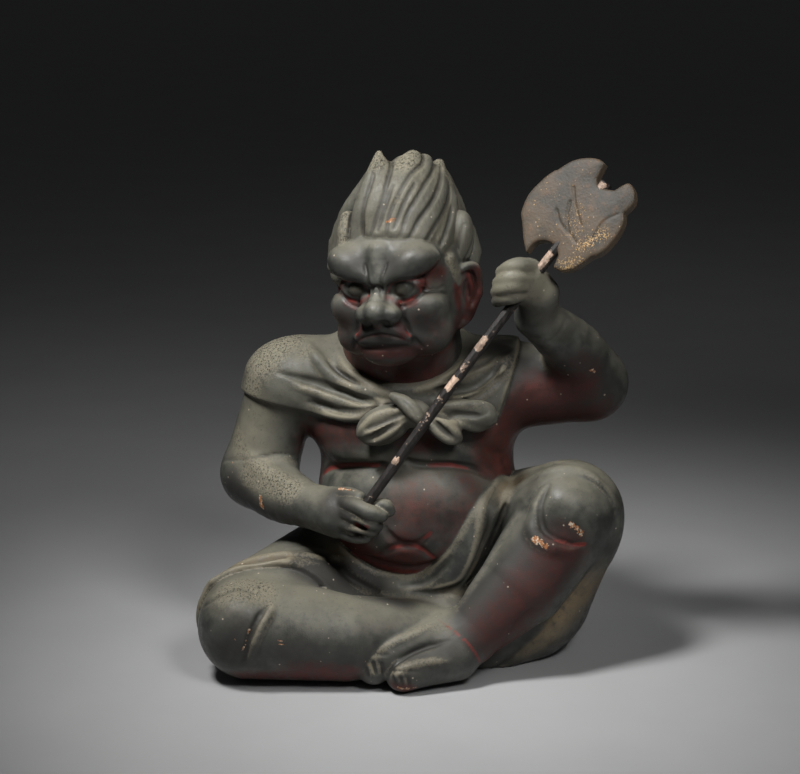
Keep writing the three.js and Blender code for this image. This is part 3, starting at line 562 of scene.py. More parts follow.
def carve_face(head):
    """The skull, jaw, brows, eyes with their lids, flared nose, frowning mouth and cheeks."""
    head.add(egg((0, 5, 8), (40, 44, 40), HEAD))
    head.add(egg((0, -6, -18), (38, 37, 24), HEAD), 10)
    head.add(egg((0, -33, -25), (20, 14, 16), HEAD), 10)
    head.add(egg((0, -20, 24), (31, 21.5, 16), HEAD), 8)
    head.add(strand([(0.5, -38, 28), (0.5, -41.5, 20), (0.5, -43.5, 11)], (3.6, 4.2, 4.4), HEAD), 5)
    for side in (-1, 1):
        def at(*points):
            return [(side * x, y, z) for x, y, z in points]
        head.add(egg((side * 22, -23, -27), (15, 14, 13), HEAD), 8)
        head.add(egg((side * 19.6, -32.6, 21.5), (14.6, 13.4, 9.4), HEAD, tilt=-14 * side), 5)
        head.add(egg((side * 22, -28.6, -8), (15.5, 14, 12.5), HEAD), 7)
        head.add(curve(at((6.5, -43, 12.5), (13, -42.6, 14.8), (20.5, -40.6, 16.4), (27.5, -35.6, 18.6),
                          (33, -28, 21.5)), (3.8, 4.6, 4.8, 4, 2.4), HEAD), 7)
        head.cut(egg((side * 17, -50, 2.6), (13.6, 10, 7), HEAD, tilt=-15 * side), 4)
        head.add(egg((side * 15.8, -34.4, 4.8), (12.2, 9.4, 8), HEAD, tilt=-14 * side), 1.6)
        head.cut(almond((side * 15.4, -46.6, 4.6), 9.4, 4.9, 5.2, HEAD, tilt=-14 * side), 0.5)
        head.add(egg((side * 15, -36.4, 4.8), (7.2, 7.4, 6), HEAD), 0.3)
        head.add(strand([(side * 7.4, -38.6, 7), (side * 8.4, -38.4, 0), (side * 9.6, -38, -5)], 3.8, HEAD), 2)
        head.cut(egg((side * 35, -26, 8), (5, 6, 4.4), HEAD), 4)
        head.cut(egg((side * 15.4, -47.4, -18.6), (3, 3.4, 4.6), HEAD, tilt=-18 * side), 2.6)
    head.add(strand([(0.5, -42, 8), (0.5, -43.5, 1), (0.5, -49, -5)], (4.4, 5.4, 6.2), HEAD), 3)
    head.add(egg((0.5, -51.4, -7), (6.4, 7, 6), HEAD), 4)
    head.add(strand([(0.5, -51, -9), (0.5, -47.5, -16)], (4.4, 3.2), HEAD), 2)
    for side in (-1, 1):
        def at(*points):
            return [(0.5 + side * x, y, z) for x, y, z in points]
        head.add(egg((0.5 + side * 8.6, -46.2, -9.4), (6.2, 7, 6), HEAD), 3.4)
        head.add(egg((0.5 + side * 7.6, -42, -3.2), (4.6, 4, 4.2), HEAD), 3)
        head.cut(egg((0.5 + side * 6, -53.6, -14.6), (3.5, 5, 2.9), HEAD, tilt=8 * side), 1)
        head.groove(at((4.6, -49, 2), (4.6, -49, 9), (5.2, -48, 15), (7, -45, 22)), 0.9, 1.6, HEAD)
        head.groove(at((9.5, -44, 10.6), (16, -45, 12.6), (22.5, -43, 12.6), (28, -38, 11.4)), 0.5, 1, HEAD)
        head.groove(at((12.5, -43, -5), (16, -42.4, -5), (21, -40, -3.8), (27, -37, 1)), 0.6, 1.6, HEAD)
        head.groove(at((26, -39, 4), (29.5, -35, 3), (33.5, -28, 0.6), (37, -18, -3)), 1, 1.6, HEAD)
        head.groove(at((28, -37, 7), (31.5, -31, 5.6), (35.5, -20, 2.4)), 0.7, 1.2, HEAD)
        head.groove(at((12.5, -46, -2), (15.4, -44.6, -6.5), (15.4, -44, -12), (13, -45, -16.4)), 0.8, 1, HEAD)
        head.groove(at((14.6, -45, -12), (16.4, -44, -18), (18.6, -42, -25.4), (22.5, -38, -32)), 1.2, 2.6,
                    HEAD)
    head.groove([(-6.5, -48, 4.4), (-3, -50, 6.8), (0.5, -51, 7.6), (4, -50, 6.8), (7.5, -48, 4.4)], 1, 1, HEAD)
    head.groove([(-6.5, -50, -0.8), (0.5, -52.6, 0.8), (7.5, -50, -0.8)], 0.6, 1.2, HEAD)
    head.add(curve([(-17, -42, -25), (-9, -45, -20.6), (0, -46.6, -19), (8, -45.4, -20),
                    (16.4, -41.8, -25)], (1, 1.6, 1.8, 1.6, 1), HEAD), 4)
    head.add(curve([(-13, -41, -27.6), (-5, -43.8, -25.2), (5, -43.8, -25.2), (13, -41, -27.8)],
                   (1.6, 2.6, 2.6, 1.6), HEAD), 4)
    head.groove([(-19.4, -41.5, -28.4), (-10, -47, -23.2), (-1.7, -49.6, -21.4), (4.7, -49.4, -21.8),
                 (11.6, -46, -24), (18.8, -41.8, -29)], 0.9, 0.8, HEAD)
    head.groove([(-15, -43.5, -31.4), (0, -46.5, -30.6), (15, -43.5, -31.4)], 1.1, 4, HEAD)
    head.add(egg((0, -34.5, -36.5), (15.5, 10.5, 7.6), HEAD), 5)
    return head


def carve_ears(head):
    """Each ear: a dish with a rolled rim from the temple round to the lobe, and a fold inside it."""
    for side in (-1, 1):
        def at(*points):
            return [(side * x, y, z) for x, y, z in points]
        head.add(egg((side * 39, 4.5, -8), (5.5, 9, 17.5), HEAD), 3)
        head.cut(egg((side * 43.8, -0.5, -6), (4.4, 6.4, 12), HEAD), 1.5)
        head.add(curve(at((35.5, -5, 3), (38, -4, 7.4), (42, 1, 9.4), (45.4, 6, 7.4), (46, 8.5, 0),
                          (45.2, 8.5, -9)), (1.6, 2.4, 2.8, 3, 3, 2.8), HEAD), 1.5)
        head.add(curve(at((45.2, 8.5, -9), (42, 6, -17), (38, 2, -24), (34.5, -2, -27)), (2.8, 2.8, 3, 2.6),
                       HEAD), 1.5)
        head.add(curve(at((38, -3, 1), (41, 3, 2), (42, 5, -8), (39, 2, -16)), (1, 1.8, 1.8, 1.2), HEAD), 1.2)
    return head


HAIR_LOCKS = (
    ([(-25, -43, 275), (-19, -40, 297), (-13, -28, 324)], (6.5, 7.6, 1.6)),
    ([(-18, -42, 290), (-12, -34, 308), (-11, -29, 318)], (6, 6, 2.4)),
    ([(-14, -51, 279), (-7, -43, 300), (0, -26, 317)], (6.5, 7, 4)),
    ([(-5, -54, 280), (3, -43.5, 302), (8, -24, 321)], (6.5, 7.4, 4.6)),
    ([(4, -55, 279), (12, -41, 300), (16, -18, 318)], (6.5, 7, 3.8)),
    ([(13, -54, 276), (21, -35, 296), (24.5, -3, 314)], (6.5, 7, 3.2)),
    ([(22, -46, 270), (29, -27, 288), (27, -4, 304)], (6.5, 7, 4)),
    ([(34, -12, 262), (34, -4, 284), (26, 4, 305)], (7, 7.5, 4)),
    ([(39, 6, 244), (35, 10, 272), (22, 9, 305)], (8, 9, 5)),
    ([(28, 20, 232), (25, 21, 266), (15, 10, 308)], (9, 9.5, 5)),
    ([(10, 26, 226), (8, 25, 264), (8, 9, 310)], (9.5, 10, 5)),
    ([(-9, 24, 228), (-9, 22, 266), (-1, 4, 309)], (9.5, 10, 5)),
    ([(-26, 15, 236), (-24, 14, 270), (-9, -4, 308)], (9, 9.5, 5)),
    ([(-36, 0, 244), (-33, -1, 272), (-16, -13, 307)], (8, 9, 5)),
    ([(-37, -20, 260), (-31, -20, 284), (-17, -22, 309)], (6, 7, 4)),
)


def carve_hair(step):
    """The swept-up hair: a core, broad locks that flame upwards to its points with fine grooves
    between and along them, and the lobes at the temples."""
    hair = Clay((-56, -84, 206), (68, 46, 336), step)
    hair.add(strand([(3, -16, 270), (5, -12, 288), (7, -10, 300)], (37, 28, 18)))
    for points, radii in HAIR_LOCKS:
        hair.add(curve(points, radii), 8)
    hair.add(egg((36, -28, 269), (9.5, 12, 20), tilt=7), 1.5)
    hair.add(strand([(42, -4, 246), (44, 0, 258), (42, 4, 270)], (6.5, 7.5, 6)), 1.5)
    hair.add(strand([(-32.5, -42, 266), (-32, -38, 276), (-31.5, -34, 284)], (6, 7, 5.6)), 1.5)
    hair.add(strand([(-40, -16, 252), (-38, -15, 266), (-34, -16, 280)], (5.5, 6.5, 4.5)), 1.5)
    hair.add(curve([(29, -45, 262), (32, -41.5, 250), (34, -37, 240)], (5, 5, 2.4)), 1.5)
    for groove in (
        [(-18.7, -57, 277), (-16, -56.5, 286), (-10.6, -52, 300), (-6.6, -41, 311), (-4, -30, 316)],
        [(-8.8, -62, 279), (-6.8, -58, 292), (0.2, -50.5, 304), (7, -38, 312.5), (12, -20, 319)],
        [(0, -63, 279), (4, -58, 291), (10, -50, 300), (14.5, -38, 306.5), (18, -22, 315)],
        [(6, -64, 278), (11, -58, 287), (17.5, -49, 295), (23, -33, 304), (25, -12, 312)],
        [(15, -62, 274), (21, -54, 282.5), (27, -42, 291), (30, -22, 303)],
        [(-24, -54, 276), (-22.5, -50, 290), (-17.5, -42.5, 307), (-14.5, -34, 316)],
        [(-14, -59, 282), (-9, -54.5, 296), (-4, -46, 306)],
        [(-4, -62, 284), (2.5, -55.5, 298), (8.5, -45, 307.5)],
        [(22, -56, 268), (28, -46, 279), (32, -34, 292)],
        [(32, -42, 256), (35, -40.5, 268), (38, -34, 280)],
        [(39, -37, 258), (42, -31, 272), (41, -24, 281)],
        [(-30, -46, 268), (-29, -42, 280), (-28, -38, 288)],
    ):
        hair.groove(groove, 0.8, 2.4)
    return hair


def carve_head(step):
    """The face, ears and hair blended into one, and the neck down into the collar."""
    head = Clay((-60, -98, 136), (68, 46, 336), step)
    carve_ears(carve_face(head)).join(carve_hair(step), 1)
    return head.add(NECK, 4)


def carve_body(step):
    """All of the figure below the neck, and the trousers and cloth on their own, for their colours."""
    cloth = carve_cloth(carve_trunk(step, True).join(carve_right_arm(step), 6))
    trousers = carve_trousers(step)
    body = Clay((-141, -120, -16), (162, 93, 284), step)
    body.join(carve_trunk(step, False)).join(carve_thighs(step), 3).join(trousers, 0.6)
    body.join(carve_shins(step), 0.8).join(carve_foot(step), 1.5)
    body.join(carve_right_arm(step), 6).join(carve_right_fist(step), 2)
    body.join(carve_left_arm(step), 4).join(carve_left_fist(step), 2)
    knot = carve_knot(step)
    body.join(cloth, 0.6).join(knot, 0.6)
    ground = (body.first * step, (body.first + body.size) * step, lambda x, y, z: z + 0 * x + 0 * y)
    body.work(ground, 0, lambda old, d: np.maximum(old, -d))
    return body, trousers, cloth.join(knot)


# Where the finish changes: lines or points, a reach in mm and a strength. Those of the head are in
# its own place, for one side, and are mirrored to the other.

RED_PLACES = (
    ([(0, -30, 186), (0, -26, 200)], 48, 1.2), ([(-28, -30, 150), (-50, -14, 146)], 24, 0.9),
    ([(-40, -24, 134), (-56, -8, 128), (-52, -10, 108)], 14, 0.45),
    ([(-70, -4, 150), (-66, -2, 136)], 17, 0.8),
    ([(76, -20, 158), (66, -22, 140), (66, -24, 124)], 30, 1), ([(80, -14, 156), (122, -10, 158)], 28, 1),
    ([(84, -22, 170), (112, -24, 178)], 24, 1), ([(112, -30, 196), (96, -32, 208)], 15, 0.55),
    ([(104, -24, 196), (112, -20, 186)], 15, 0.5), ([(118, -26, 188)], 16, 0.7),
    ([(52, -34, 150), (56, -32, 128)], 24, 0.75), ([(20, -52, 148), (4, -52, 148)], 18, 0.7),
    ([(-34, -40, 80), (-20, -48, 66), (0, -52, 60), (22, -52, 62), (36, -48, 74), (42, -46, 90)], 24, 1.1),
    ([(4, -58, 84), (4, -56, 74)], 24, 0.75), ([(10, -60, 108)], 46, 0.55),
    ([(46, -44, 108), (40, -48, 122)], 18, 0.6), ([(28, -56, 96), (40, -50, 104)], 30, 0.5),
    ([(-24, -50, 92)], 26, 0.4),
    ([(100, -70, 84), (78, -78, 58), (56, -80, 34)], 29, 0.78), ([(72, -70, 36), (58, -74, 20)], 22, 0.85),
    ([(110, -62, 84), (104, -70, 90)], 15, 0.5),
    ([(-60, -98, 12), (-34, -98, 10)], 19, 0.95), ([(-96, -92, 8), (-50, -100, 8)], 15, 0.7),
    ([(-4, -105, 6), (6, -104, 4)], 8, 1), ([(-3, -57, 288)], 5, 0.6),
    ([(-30, -92, 40), (-8, -86, 40)], 12, 0.3),
)
RED_LINES = (
    (BREAST_CREASE_R, 3, 1), (BREAST_CREASE_L[:-1], 3, 0.95), (NAVEL_FOLD[1:], 2.8, 1), (BELLY_FOLD, 2.8, 1),
    ([(89, -73, 98), (96, -74.5, 92), (106, -73.5, 88), (114, -69, 87)], 2.8, 1),
    ([(24, -79, 40.5), (27.8, -82, 38.7), (32.1, -85.5, 36.7), (36.9, -89.2, 34.2), (41.8, -91, 30.3),
      (46.2, -90.8, 24.3), (49.5, -86.1, 16)], 2.4, 0.7),
    ([(-26, -82, 104), (-20, -86, 104)], 3.6, 1), ([(-25, -81, 97.5)], 3.4, 0.7),
    ([(-30, -40, 72), (-18, -46, 66), (0, -49, 62), (18, -49, 64), (32, -47, 70), (40, -46, 80)], 4, 0.6),
)
HEAD_RED = (
    ([(45, 3, 4), (45, 4, -8), (41, 0, -20)], 10, 1.1), ([(38, -6, 4), (36, -8, -12), (34, -8, -24)], 8, 0.9),
    ([(36, -24, 10), (33, -29, 12), (29, -36, 9)], 12, 1.3),
    ([(7, -44, -1), (14, -43, -5), (22, -41, -3)], 5, 0.9),
    ([(13.5, -46, -17), (15, -44, -21)], 6.5, 1), ([(6, -45, 0), (11, -44, -5)], 6, 0.5),
    ([(24, -34, -14), (28, -28, -24)], 18, 0.5),
    ([(-14, -44, -25.4), (0, -49, -21), (14, -44, -25.4)], 2.4, 0.6),
    ([(0, -46, -33), (14, -40, -34), (26, -28, -34)], 9, 0.8),
    ([(0, -34, -46), (24, -18, -44), (36, -2, -38)], 20, 1.3), ([(24, -30, -30), (34, -10, -24)], 14, 0.8),
    ([(0.5, -50, -15)], 6, 0.6),
)
# Painted shade on the face: along the mouth, under the lower lip and chin, on the cheeks, under the nose and on
# the brows
HEAD_PAINTED_SHADE = (
    ([(-13, -43, -27), (0, -46, -26), (13, -43, -27)], 6, 1.3),
    ([(0, -46, -30), (18, -38, -32), (34, -10, -30)], 18, 1), ([(30, -20, 0), (36, -4, -14)], 14, 0.4),
    ([(24, -40, -12), (12, -46, -22)], 20, 0.7), ([(0, -50, -16), (0, -46, -30)], 14, 0.7),
    ([(10, -46, -8)], 9, 0.4),
    ([(12, -44, 20), (26, -36, 22)], 16, 0.8),
)
HEAD_LINES = (
    ([(5.5, -43, 2.4), (9, -43, 8), (15.5, -43.5, 10.4), (22, -41, 10.4), (27, -37, 8.6)], 2.2, 0.55),
    ([(5, -43, 2), (8.5, -42.5, -1.4), (14, -42, -3), (20, -40, -1.4), (26, -37, 4)], 2.6, 0.8),
    ([(4.8, -49, 2), (4.8, -49, 8), (5.2, -48, 14)], 1.7, 0.9),
    ([(9, -45, 10.8), (18, -43.5, 13.5), (27, -38, 15)], 1.6, 0.7),
    ([(14, -45, -14), (15.4, -44, -18.6), (17.6, -42, -24)], 1.8, 0.9),
    ([(-17, -42.5, -27), (-10, -47, -22.4), (-1.7, -49.6, -20.6), (5, -49.4, -20.8)], 1.1, 0.6),
    ([(28, -36.5, 6), (32, -31, 5)], 1.6, 0.6), ([(42, 2, 4), (43, 5, -6)], 3, 0.5),
)
WORN_PLACES = (
    ([(-86, -8, 188), (-74, 2, 198)], 26, 1), ([(-94, -14, 176)], 17, 0.9), ([(-60, -14, 197)], 14, 0.5),
    ([(-104, -6, 140), (-98, -12, 128)], 14, 0.55), ([(-94, -24, 120), (-68, -44, 114)], 17, 0.85),
    ([(-104, -86, 60), (-86, -86, 64)], 21, 0.9), ([(-120, -74, 52)], 14, 0.7), ([(-80, -94, 56)], 9, 0.6),
    ([(-13, -28, 326), (-14, -33, 314)], 11, 1), ([(8, -26, 323), (3, -32, 314)], 15, 1),
    ([(22, -6, 317), (27, -12, 306)], 14, 1), ([(-31, -36, 290), (-33, -44, 268)], 10, 0.9),
    ([(28, -47, 262), (31, -44, 252)], 8, 1), ([(-2, -52, 298), (4, -46, 303)], 6, 0.7),
    ([(42, 4, 270)], 8, 0.7),
    ([(70, 40, 60), (20, 70, 70)], 24, 0.6), ([(112, 8, 188)], 14, 0.5),
    ([(-10, 30, 250), (30, 26, 262)], 20, 0.4),
    ([(30, -82, 36), (10, -86, 40)], 8, 0.4), ([(70, -70, 10), (90, -60, 8)], 14, 0.7),
)
CHIP_PLACES = (
    ([(-108, -12, 124)], 4, 1), ([(-88, -36, 107), (-87, -36, 101)], 4, 1),
    ([(105, -71, 101), (112, -70, 95)], 5.5, 1),
    ([(83, -74, 92), (90, -76.5, 88)], 5.8, 1), ([(-100, -103, 37)], 4, 1),
    ([(-71, -103, 34), (-74, -102, 38)], 3.4, 1),
    ([(121, -30, 188), (116, -32, 191)], 4, 1), ([(-3, -57, 288), (-8, -58, 287)], 3.6, 0.9),
    ([(83, -63, 248), (85, -60, 242)], 3.4, 0.9),
    ([(-5, -105.6, 5.5), (4, -105.4, 4.5), (11, -102, 3)], 5, 1), ([(16, -80, 43), (8, -86, 39)], 3.6, 0.9),
    ([(30, -82, 40)], 2.5, 0.8),
    ([(-104, -30, 103), (-112, -22, 112)], 4, 0.8), ([(-46, -100, 43)], 2.2, 1), ([(-45, -97, 52)], 1.3, 1),
    ([(-38, -65, 122), (-28, -73, 122)], 3.4, 0.9), ([(-92, -103, 44), (-96, -103, 30)], 3.4, 0.8),
    ([(-58, -60, 112)], 3, 0.7),
    ([(72, -30, 170), (71, -32, 162)], 3.4, 0.7), ([(46, -45, 122)], 4, 0.5),
    ([(-28, -98, 30), (-10, -100, 8)], 3, 0.6),
    ([(-22, -99, 10)], 3, 0.6), ([(-62, -100, 24)], 2.2, 0.8), ([(-30, -98, 52), (-20, -94, 50)], 2.6, 0.7),
)
# Painted shade: places darkened where shade falls, on the lap and belly under the right arm and fist, in the
# valley between belly and shins, on the lower left shin, on the low sides of the right leg and foot, under the
# left upper arm and under the knot
PAINTED_SHADE_PLACES = (
    ([(92, -78, 84), (74, -80, 64), (54, -82, 42)], 36, 1.7),
    ([(-60, -60, 74), (-40, -54, 62), (-20, -52, 52)], 20, 1.3),
    ([(-40, -64, 70), (-20, -68, 62), (4, -72, 56)], 19, 1.2),
    ([(-34, -46, 104), (-20, -54, 104)], 24, 0.9),
    ([(-70, -100, 30), (-20, -92, 24)], 26, 0.7), ([(-108, -98, 26), (-96, -98, 40)], 28, 0.75),
    ([(30, -92, 26), (-4, -102, 16)], 24, 0.7),
    ([(-104, -12, 108), (-88, -28, 98), (-60, -48, 98)], 20, 0.9),
    ([(-38, -66, 112), (-26, -76, 110)], 22, 1),
    ([(70, -18, 186), (84, -16, 184)], 18, 1.2),
    ([(84, -24, 158), (120, -20, 166), (112, -30, 186)], 30, 1.4), ([(10, -50, 146), (40, -44, 146)], 16, 0.5),
    ([(0, -60, 84)], 26, 0.4), ([(124, -44, 90)], 24, 0.5), ([(96, -58, 232), (98, -44, 214)], 10, 0.4),
)
# Places lightened towards the dust colour: dust, and painted light where the light falls on the right arm, the
# left fist and the left forearm
DUST_AND_PAINTED_LIGHT_PLACES = (
    ([(-90, -14, 160), (-98, -14, 136), (-84, -34, 122)], 30, 1.3),
    ([(-104, -78, 62)], 22, 0.3), ([(64, -68, 254), (82, -56, 250)], 22, 2.4),
    ([(88, -50, 234), (100, -30, 214)], 16, 0.8),
    ([(-30, -44, 136), (30, -46, 138)], 8, 0.5), ([(-14, -60, 162), (8, -64, 168), (34, -56, 163)], 18, 0.9),
)
TAN_PLACES = (
    ([(120, -34, 64), (104, -52, 44), (80, -66, 20)], 26, 1.2), ([(130, -30, 84)], 18, 0.8),
    ([(44, -48, 66), (48, -48, 90), (58, -40, 106), (74, -32, 118)], 10, 1), ([(30, -56, 52)], 12, 0.4),
    ([(-110, -58, 68), (-88, -57, 75), (-70, -56, 75)], 7, 0.8), ([(-26, -44, 72), (-40, -42, 74)], 9, 0.7),
)
POLISH_PLACES = (
    ([(96, -69, 112), (100, -70, 106)], 14, 1), ([(105, -70, 103)], 6, 0.6), ([(-30, -70, 119)], 7, 0.7),
    ([(64, -69, 259), (61, -67, 244)], 11, 0.7),
    ([(-98, -98, 50)], 13, 0.7), ([(84, -68, 92)], 6, 0.6), ([(0, -100, 20)], 9, 0.5),
    ([(-14, -94, 28)], 8, 0.5),
)
EYES = (([(14.6, -42.6, 4.4)], 6.2, 3),)
HEAD_POLISH = (([(20, -44, 24)], 10, 0.35), ([(0, -58, -6)], 7, 0.8), ([(4, -42, 26)], 7, 0.4))


def nearness(points, places, place=BODY, mirror=False):
    """How much each point is touched by a list of places: for each, the strength times a smooth fall
    from one on its line to nothing at its reach, and the most of them."""
    most = np.zeros(len(points), np.float32)
    x, y, z = points.T.astype(np.float32)
    for line, reach, strength in places:
        for side in (1, -1) if mirror else (1,):
            line_here = [(side * a, b, c) for a, b, c in line]
            line_here = line_here * 2 if len(line_here) == 1 else line_here
            line_here[-1] = tuple(v + 1e-3 for v in line_here[-1])
            gap = strand(line_here, 0, place)[2](x, y, z) / reach
            fall = np.clip(1 - gap, 0, 1)
            most = np.maximum(most, strength * fall * fall * (3 - 2 * fall))
    return most


def on_shape(points, clay):
    """One where a point lies on the surface of some clay, nothing a millimetre away from it."""
    return np.clip(1.3 - np.abs(clay.at(points)), 0, 1)


# Meshes

def mesh_of(name, points, faces, smooth=True):
    """A mesh from points in metres and rows of quads or triangles."""
    mesh = bpy.data.meshes.new(name)
    mesh.from_pydata(points.tolist(), [], faces.tolist())
    mesh.update()
    if smooth:
        mesh.shade_smooth()
    return mesh


def piece_of(name, mesh, node, material):
    """Stands a finished mesh in the scene as a piece that rides on the figure and replaces a node."""
    piece = bpy.data.objects.new(name, mesh)
    bpy.context.collection.objects.link(piece)
    mesh.materials.clear()
    mesh.materials.append(material)
    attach(piece, "root")
    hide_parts(node)
    return piece


def points_of(mesh):
    """The points of a mesh, in millimetres of the carver's block."""
    flat = np.zeros(3 * len(mesh.vertices), np.float32)
    mesh.vertices.foreach_get("co", flat)
    return flat.reshape(-1, 3) * 1000 + STANDS


def thinned(mesh, triangles):
    """The same surface with fewer faces, where it is least curved."""
    count = sum(len(p.vertices) - 2 for p in mesh.polygons)
    worker = bpy.data.objects.new("thinning", mesh)
    bpy.context.collection.objects.link(worker)
    fewer = worker.modifiers.new("fewer", "DECIMATE")
    fewer.ratio = min(1, triangles / count)
    thin = bpy.data.meshes.new_from_object(worker.evaluated_get(bpy.context.evaluated_depsgraph_get()))
    bpy.data.objects.remove(worker)
    bpy.data.meshes.remove(mesh)
    return thin


def carved_mesh(name, clay, triangles):
    """The skin of some clay as a thinned mesh in metres, with its flat base on the ground."""
    points, faces = skin(clay)
    points[points[:, 2] < ON_GROUND, 2] = 0
    mesh = thinned(mesh_of(name, (points - STANDS) / 1000, faces), triangles)
    mesh.name = name
    mesh.shade_smooth()
    return mesh


def keep(mesh, **attributes):
    """Stores numbers per point on a mesh, for its material."""
    for name, values in attributes.items():
        attribute = mesh.attributes.new(name, "FLOAT", "POINT")
        attribute.data.foreach_set("value", np.ascontiguousarray(values, np.float32))


GROOVE_REACH, SHELTER_REACH, EDGE_REACH = 2.5, 11, 3  # mm, the first two outwards and the last inwards


def wear_and_shade_masks(points, clay):
    """Masks of a surface for its finish. Dust settles on what faces up. A groove or a shelter is a hollow: how
    much nearer to other wood a spot is, a set reach out along the slope, than that reach; the finish darkens
    grooves with soil and painted shade, and sheltered spots with painted shade. An edge is how much nearer to
    the open a spot is, a set reach in, than that reach."""
    slope = clay.slope(points)

    def hollow(reach):
        return np.clip(1 - clay.at(points + reach * slope) / reach, 0, 1)

    return {
        "facing_up": np.clip(0.5 + 0.5 * slope[:, 2], 0, 1),
        "groove": hollow(GROOVE_REACH),
        "shelter": hollow(SHELTER_REACH),
        "edge": np.clip(1 + clay.at(points - EDGE_REACH * slope) / EDGE_REACH, 0, 1),
    }


# Finishes

class Recipe:
    """A material built up step by step. Each step gives back the socket that holds its result."""

    def __init__(self, name):
        self.material = bpy.data.materials.new(name)
        self.material.use_nodes = True
        self.nodes = self.material.node_tree.nodes
        self.links = self.material.node_tree.links
        self.nodes.clear()
        self.shader = self.nodes.new("ShaderNodeBsdfPrincipled")
        out = self.nodes.new("ShaderNodeOutputMaterial")
        self.links.new(self.shader.outputs[0], out.inputs[0])
        self.object = self.nodes.new("ShaderNodeTexCoord").outputs["Object"]

    def feed(self, socket, value):
        """Links a result to a socket, or sets a plain colour or number on it."""
        if isinstance(value, bpy.types.NodeSocket):
            self.links.new(value, socket)
        elif socket.type == "RGBA":
            socket.default_value = (*value, 1)
        else:
            socket.default_value = value

    def attribute(self, name):
        """A number per point that keep stored on the mesh."""
        node = self.nodes.new("ShaderNodeAttribute")
        node.attribute_name = name
        return node.outputs["Fac"]

    def place(self, stretch):
        """The place on the object, scaled along each axis."""
        node = self.nodes.new("ShaderNodeMapping")
        self.feed(node.inputs["Vector"], self.object)
        node.inputs["Scale"].default_value = stretch
        return node.outputs[0]

    def noise(self, size_mm, detail=3, rough=0.55, stretch=(1, 1, 1)):
        """Clouds of about a size, from nothing to one."""
        node = self.nodes.new("ShaderNodeTexNoise")
        self.feed(node.inputs["Vector"], self.place(stretch))
        node.inputs["Scale"].default_value = 1000 / size_mm
        node.inputs["Detail"].default_value = detail
        node.inputs["Roughness"].default_value = rough
        return node.outputs["Fac"]

    def cells(self, size_mm):
        """The distance to the nearest of scattered spots, for dots."""
        node = self.nodes.new("ShaderNodeTexVoronoi")
        self.feed(node.inputs["Vector"], self.object)
        node.inputs["Scale"].default_value = 1000 / size_mm
        return node.outputs["Distance"]

    def between(self, value, low, high):
        """A smooth rise from nothing at low to one at high."""
        node = self.nodes.new("ShaderNodeMapRange")
        node.interpolation_type = "SMOOTHSTEP"
        self.feed(node.inputs["Value"], value)
        node.inputs["From Min"].default_value = low
        node.inputs["From Max"].default_value = high
        return node.outputs["Result"]

    def maths(self, kind, a, b):
        """One step of arithmetic, kept between nothing and one unless it subtracts."""
        node = self.nodes.new("ShaderNodeMath")
        node.operation = kind
        node.use_clamp = kind != "SUBTRACT"
        self.feed(node.inputs[0], a)
        self.feed(node.inputs[1], b)
        return node.outputs[0]

    def most(self, *values):
        """The largest of several values."""
        total = values[0]
        for value in values[1:]:
            total = self.maths("MAXIMUM", total, value)
        return total

    def product(self, *values):
        """Several values multiplied."""
        total = values[0]
        for value in values[1:]:
            total = self.maths("MULTIPLY", total, value)
        return total

    def sum(self, *terms):
        """The sum of values each times its own factor, as steps of multiply and add."""
        total = 0.0
        for value, factor in terms:
            node = self.nodes.new("ShaderNodeMath")
            node.operation = "MULTIPLY_ADD"
            for socket, part in zip(node.inputs, (value, factor, total)):
                self.feed(socket, part)
            total = node.outputs[0]
        return total

    def mix(self, share, a, b):
        """A colour that goes from a to b by a share."""
        node = self.nodes.new("ShaderNodeMix")
        node.data_type = "RGBA"
        for socket, value in ((node.inputs[0], share), (node.inputs[6], a), (node.inputs[7], b)):
            self.feed(socket, value)
        return node.outputs[2]

    def level(self, share, a, b):
        """A number that goes from a to b by a share."""
        node = self.nodes.new("ShaderNodeMix")
        for socket, value in ((node.inputs[0], share), (node.inputs[2], a), (node.inputs[3], b)):
            self.feed(socket, value)
        return node.outputs[0]

    def bump(self, height, depth_mm, strength=1.0):
        """Adds a fine relief on top of the ones before."""
        node = self.nodes.new("ShaderNodeBump")
        node.inputs["Strength"].default_value = strength
        node.inputs["Distance"].default_value = depth_mm / 1000
        self.feed(node.inputs["Height"], height)
        if self.shader.inputs["Normal"].is_linked:
            self.feed(node.inputs["Normal"], self.shader.inputs["Normal"].links[0].from_socket)
        self.links.new(node.outputs[0], self.shader.inputs["Normal"])

    def finish(self, colour, roughness, sheen):
        """Sets what the surface shows, and gives the material."""
        self.feed(self.shader.inputs["Base Color"], colour)
        self.feed(self.shader.inputs["Roughness"], roughness)
        self.shader.inputs["Specular IOR Level"].default_value = sheen
        return self.material


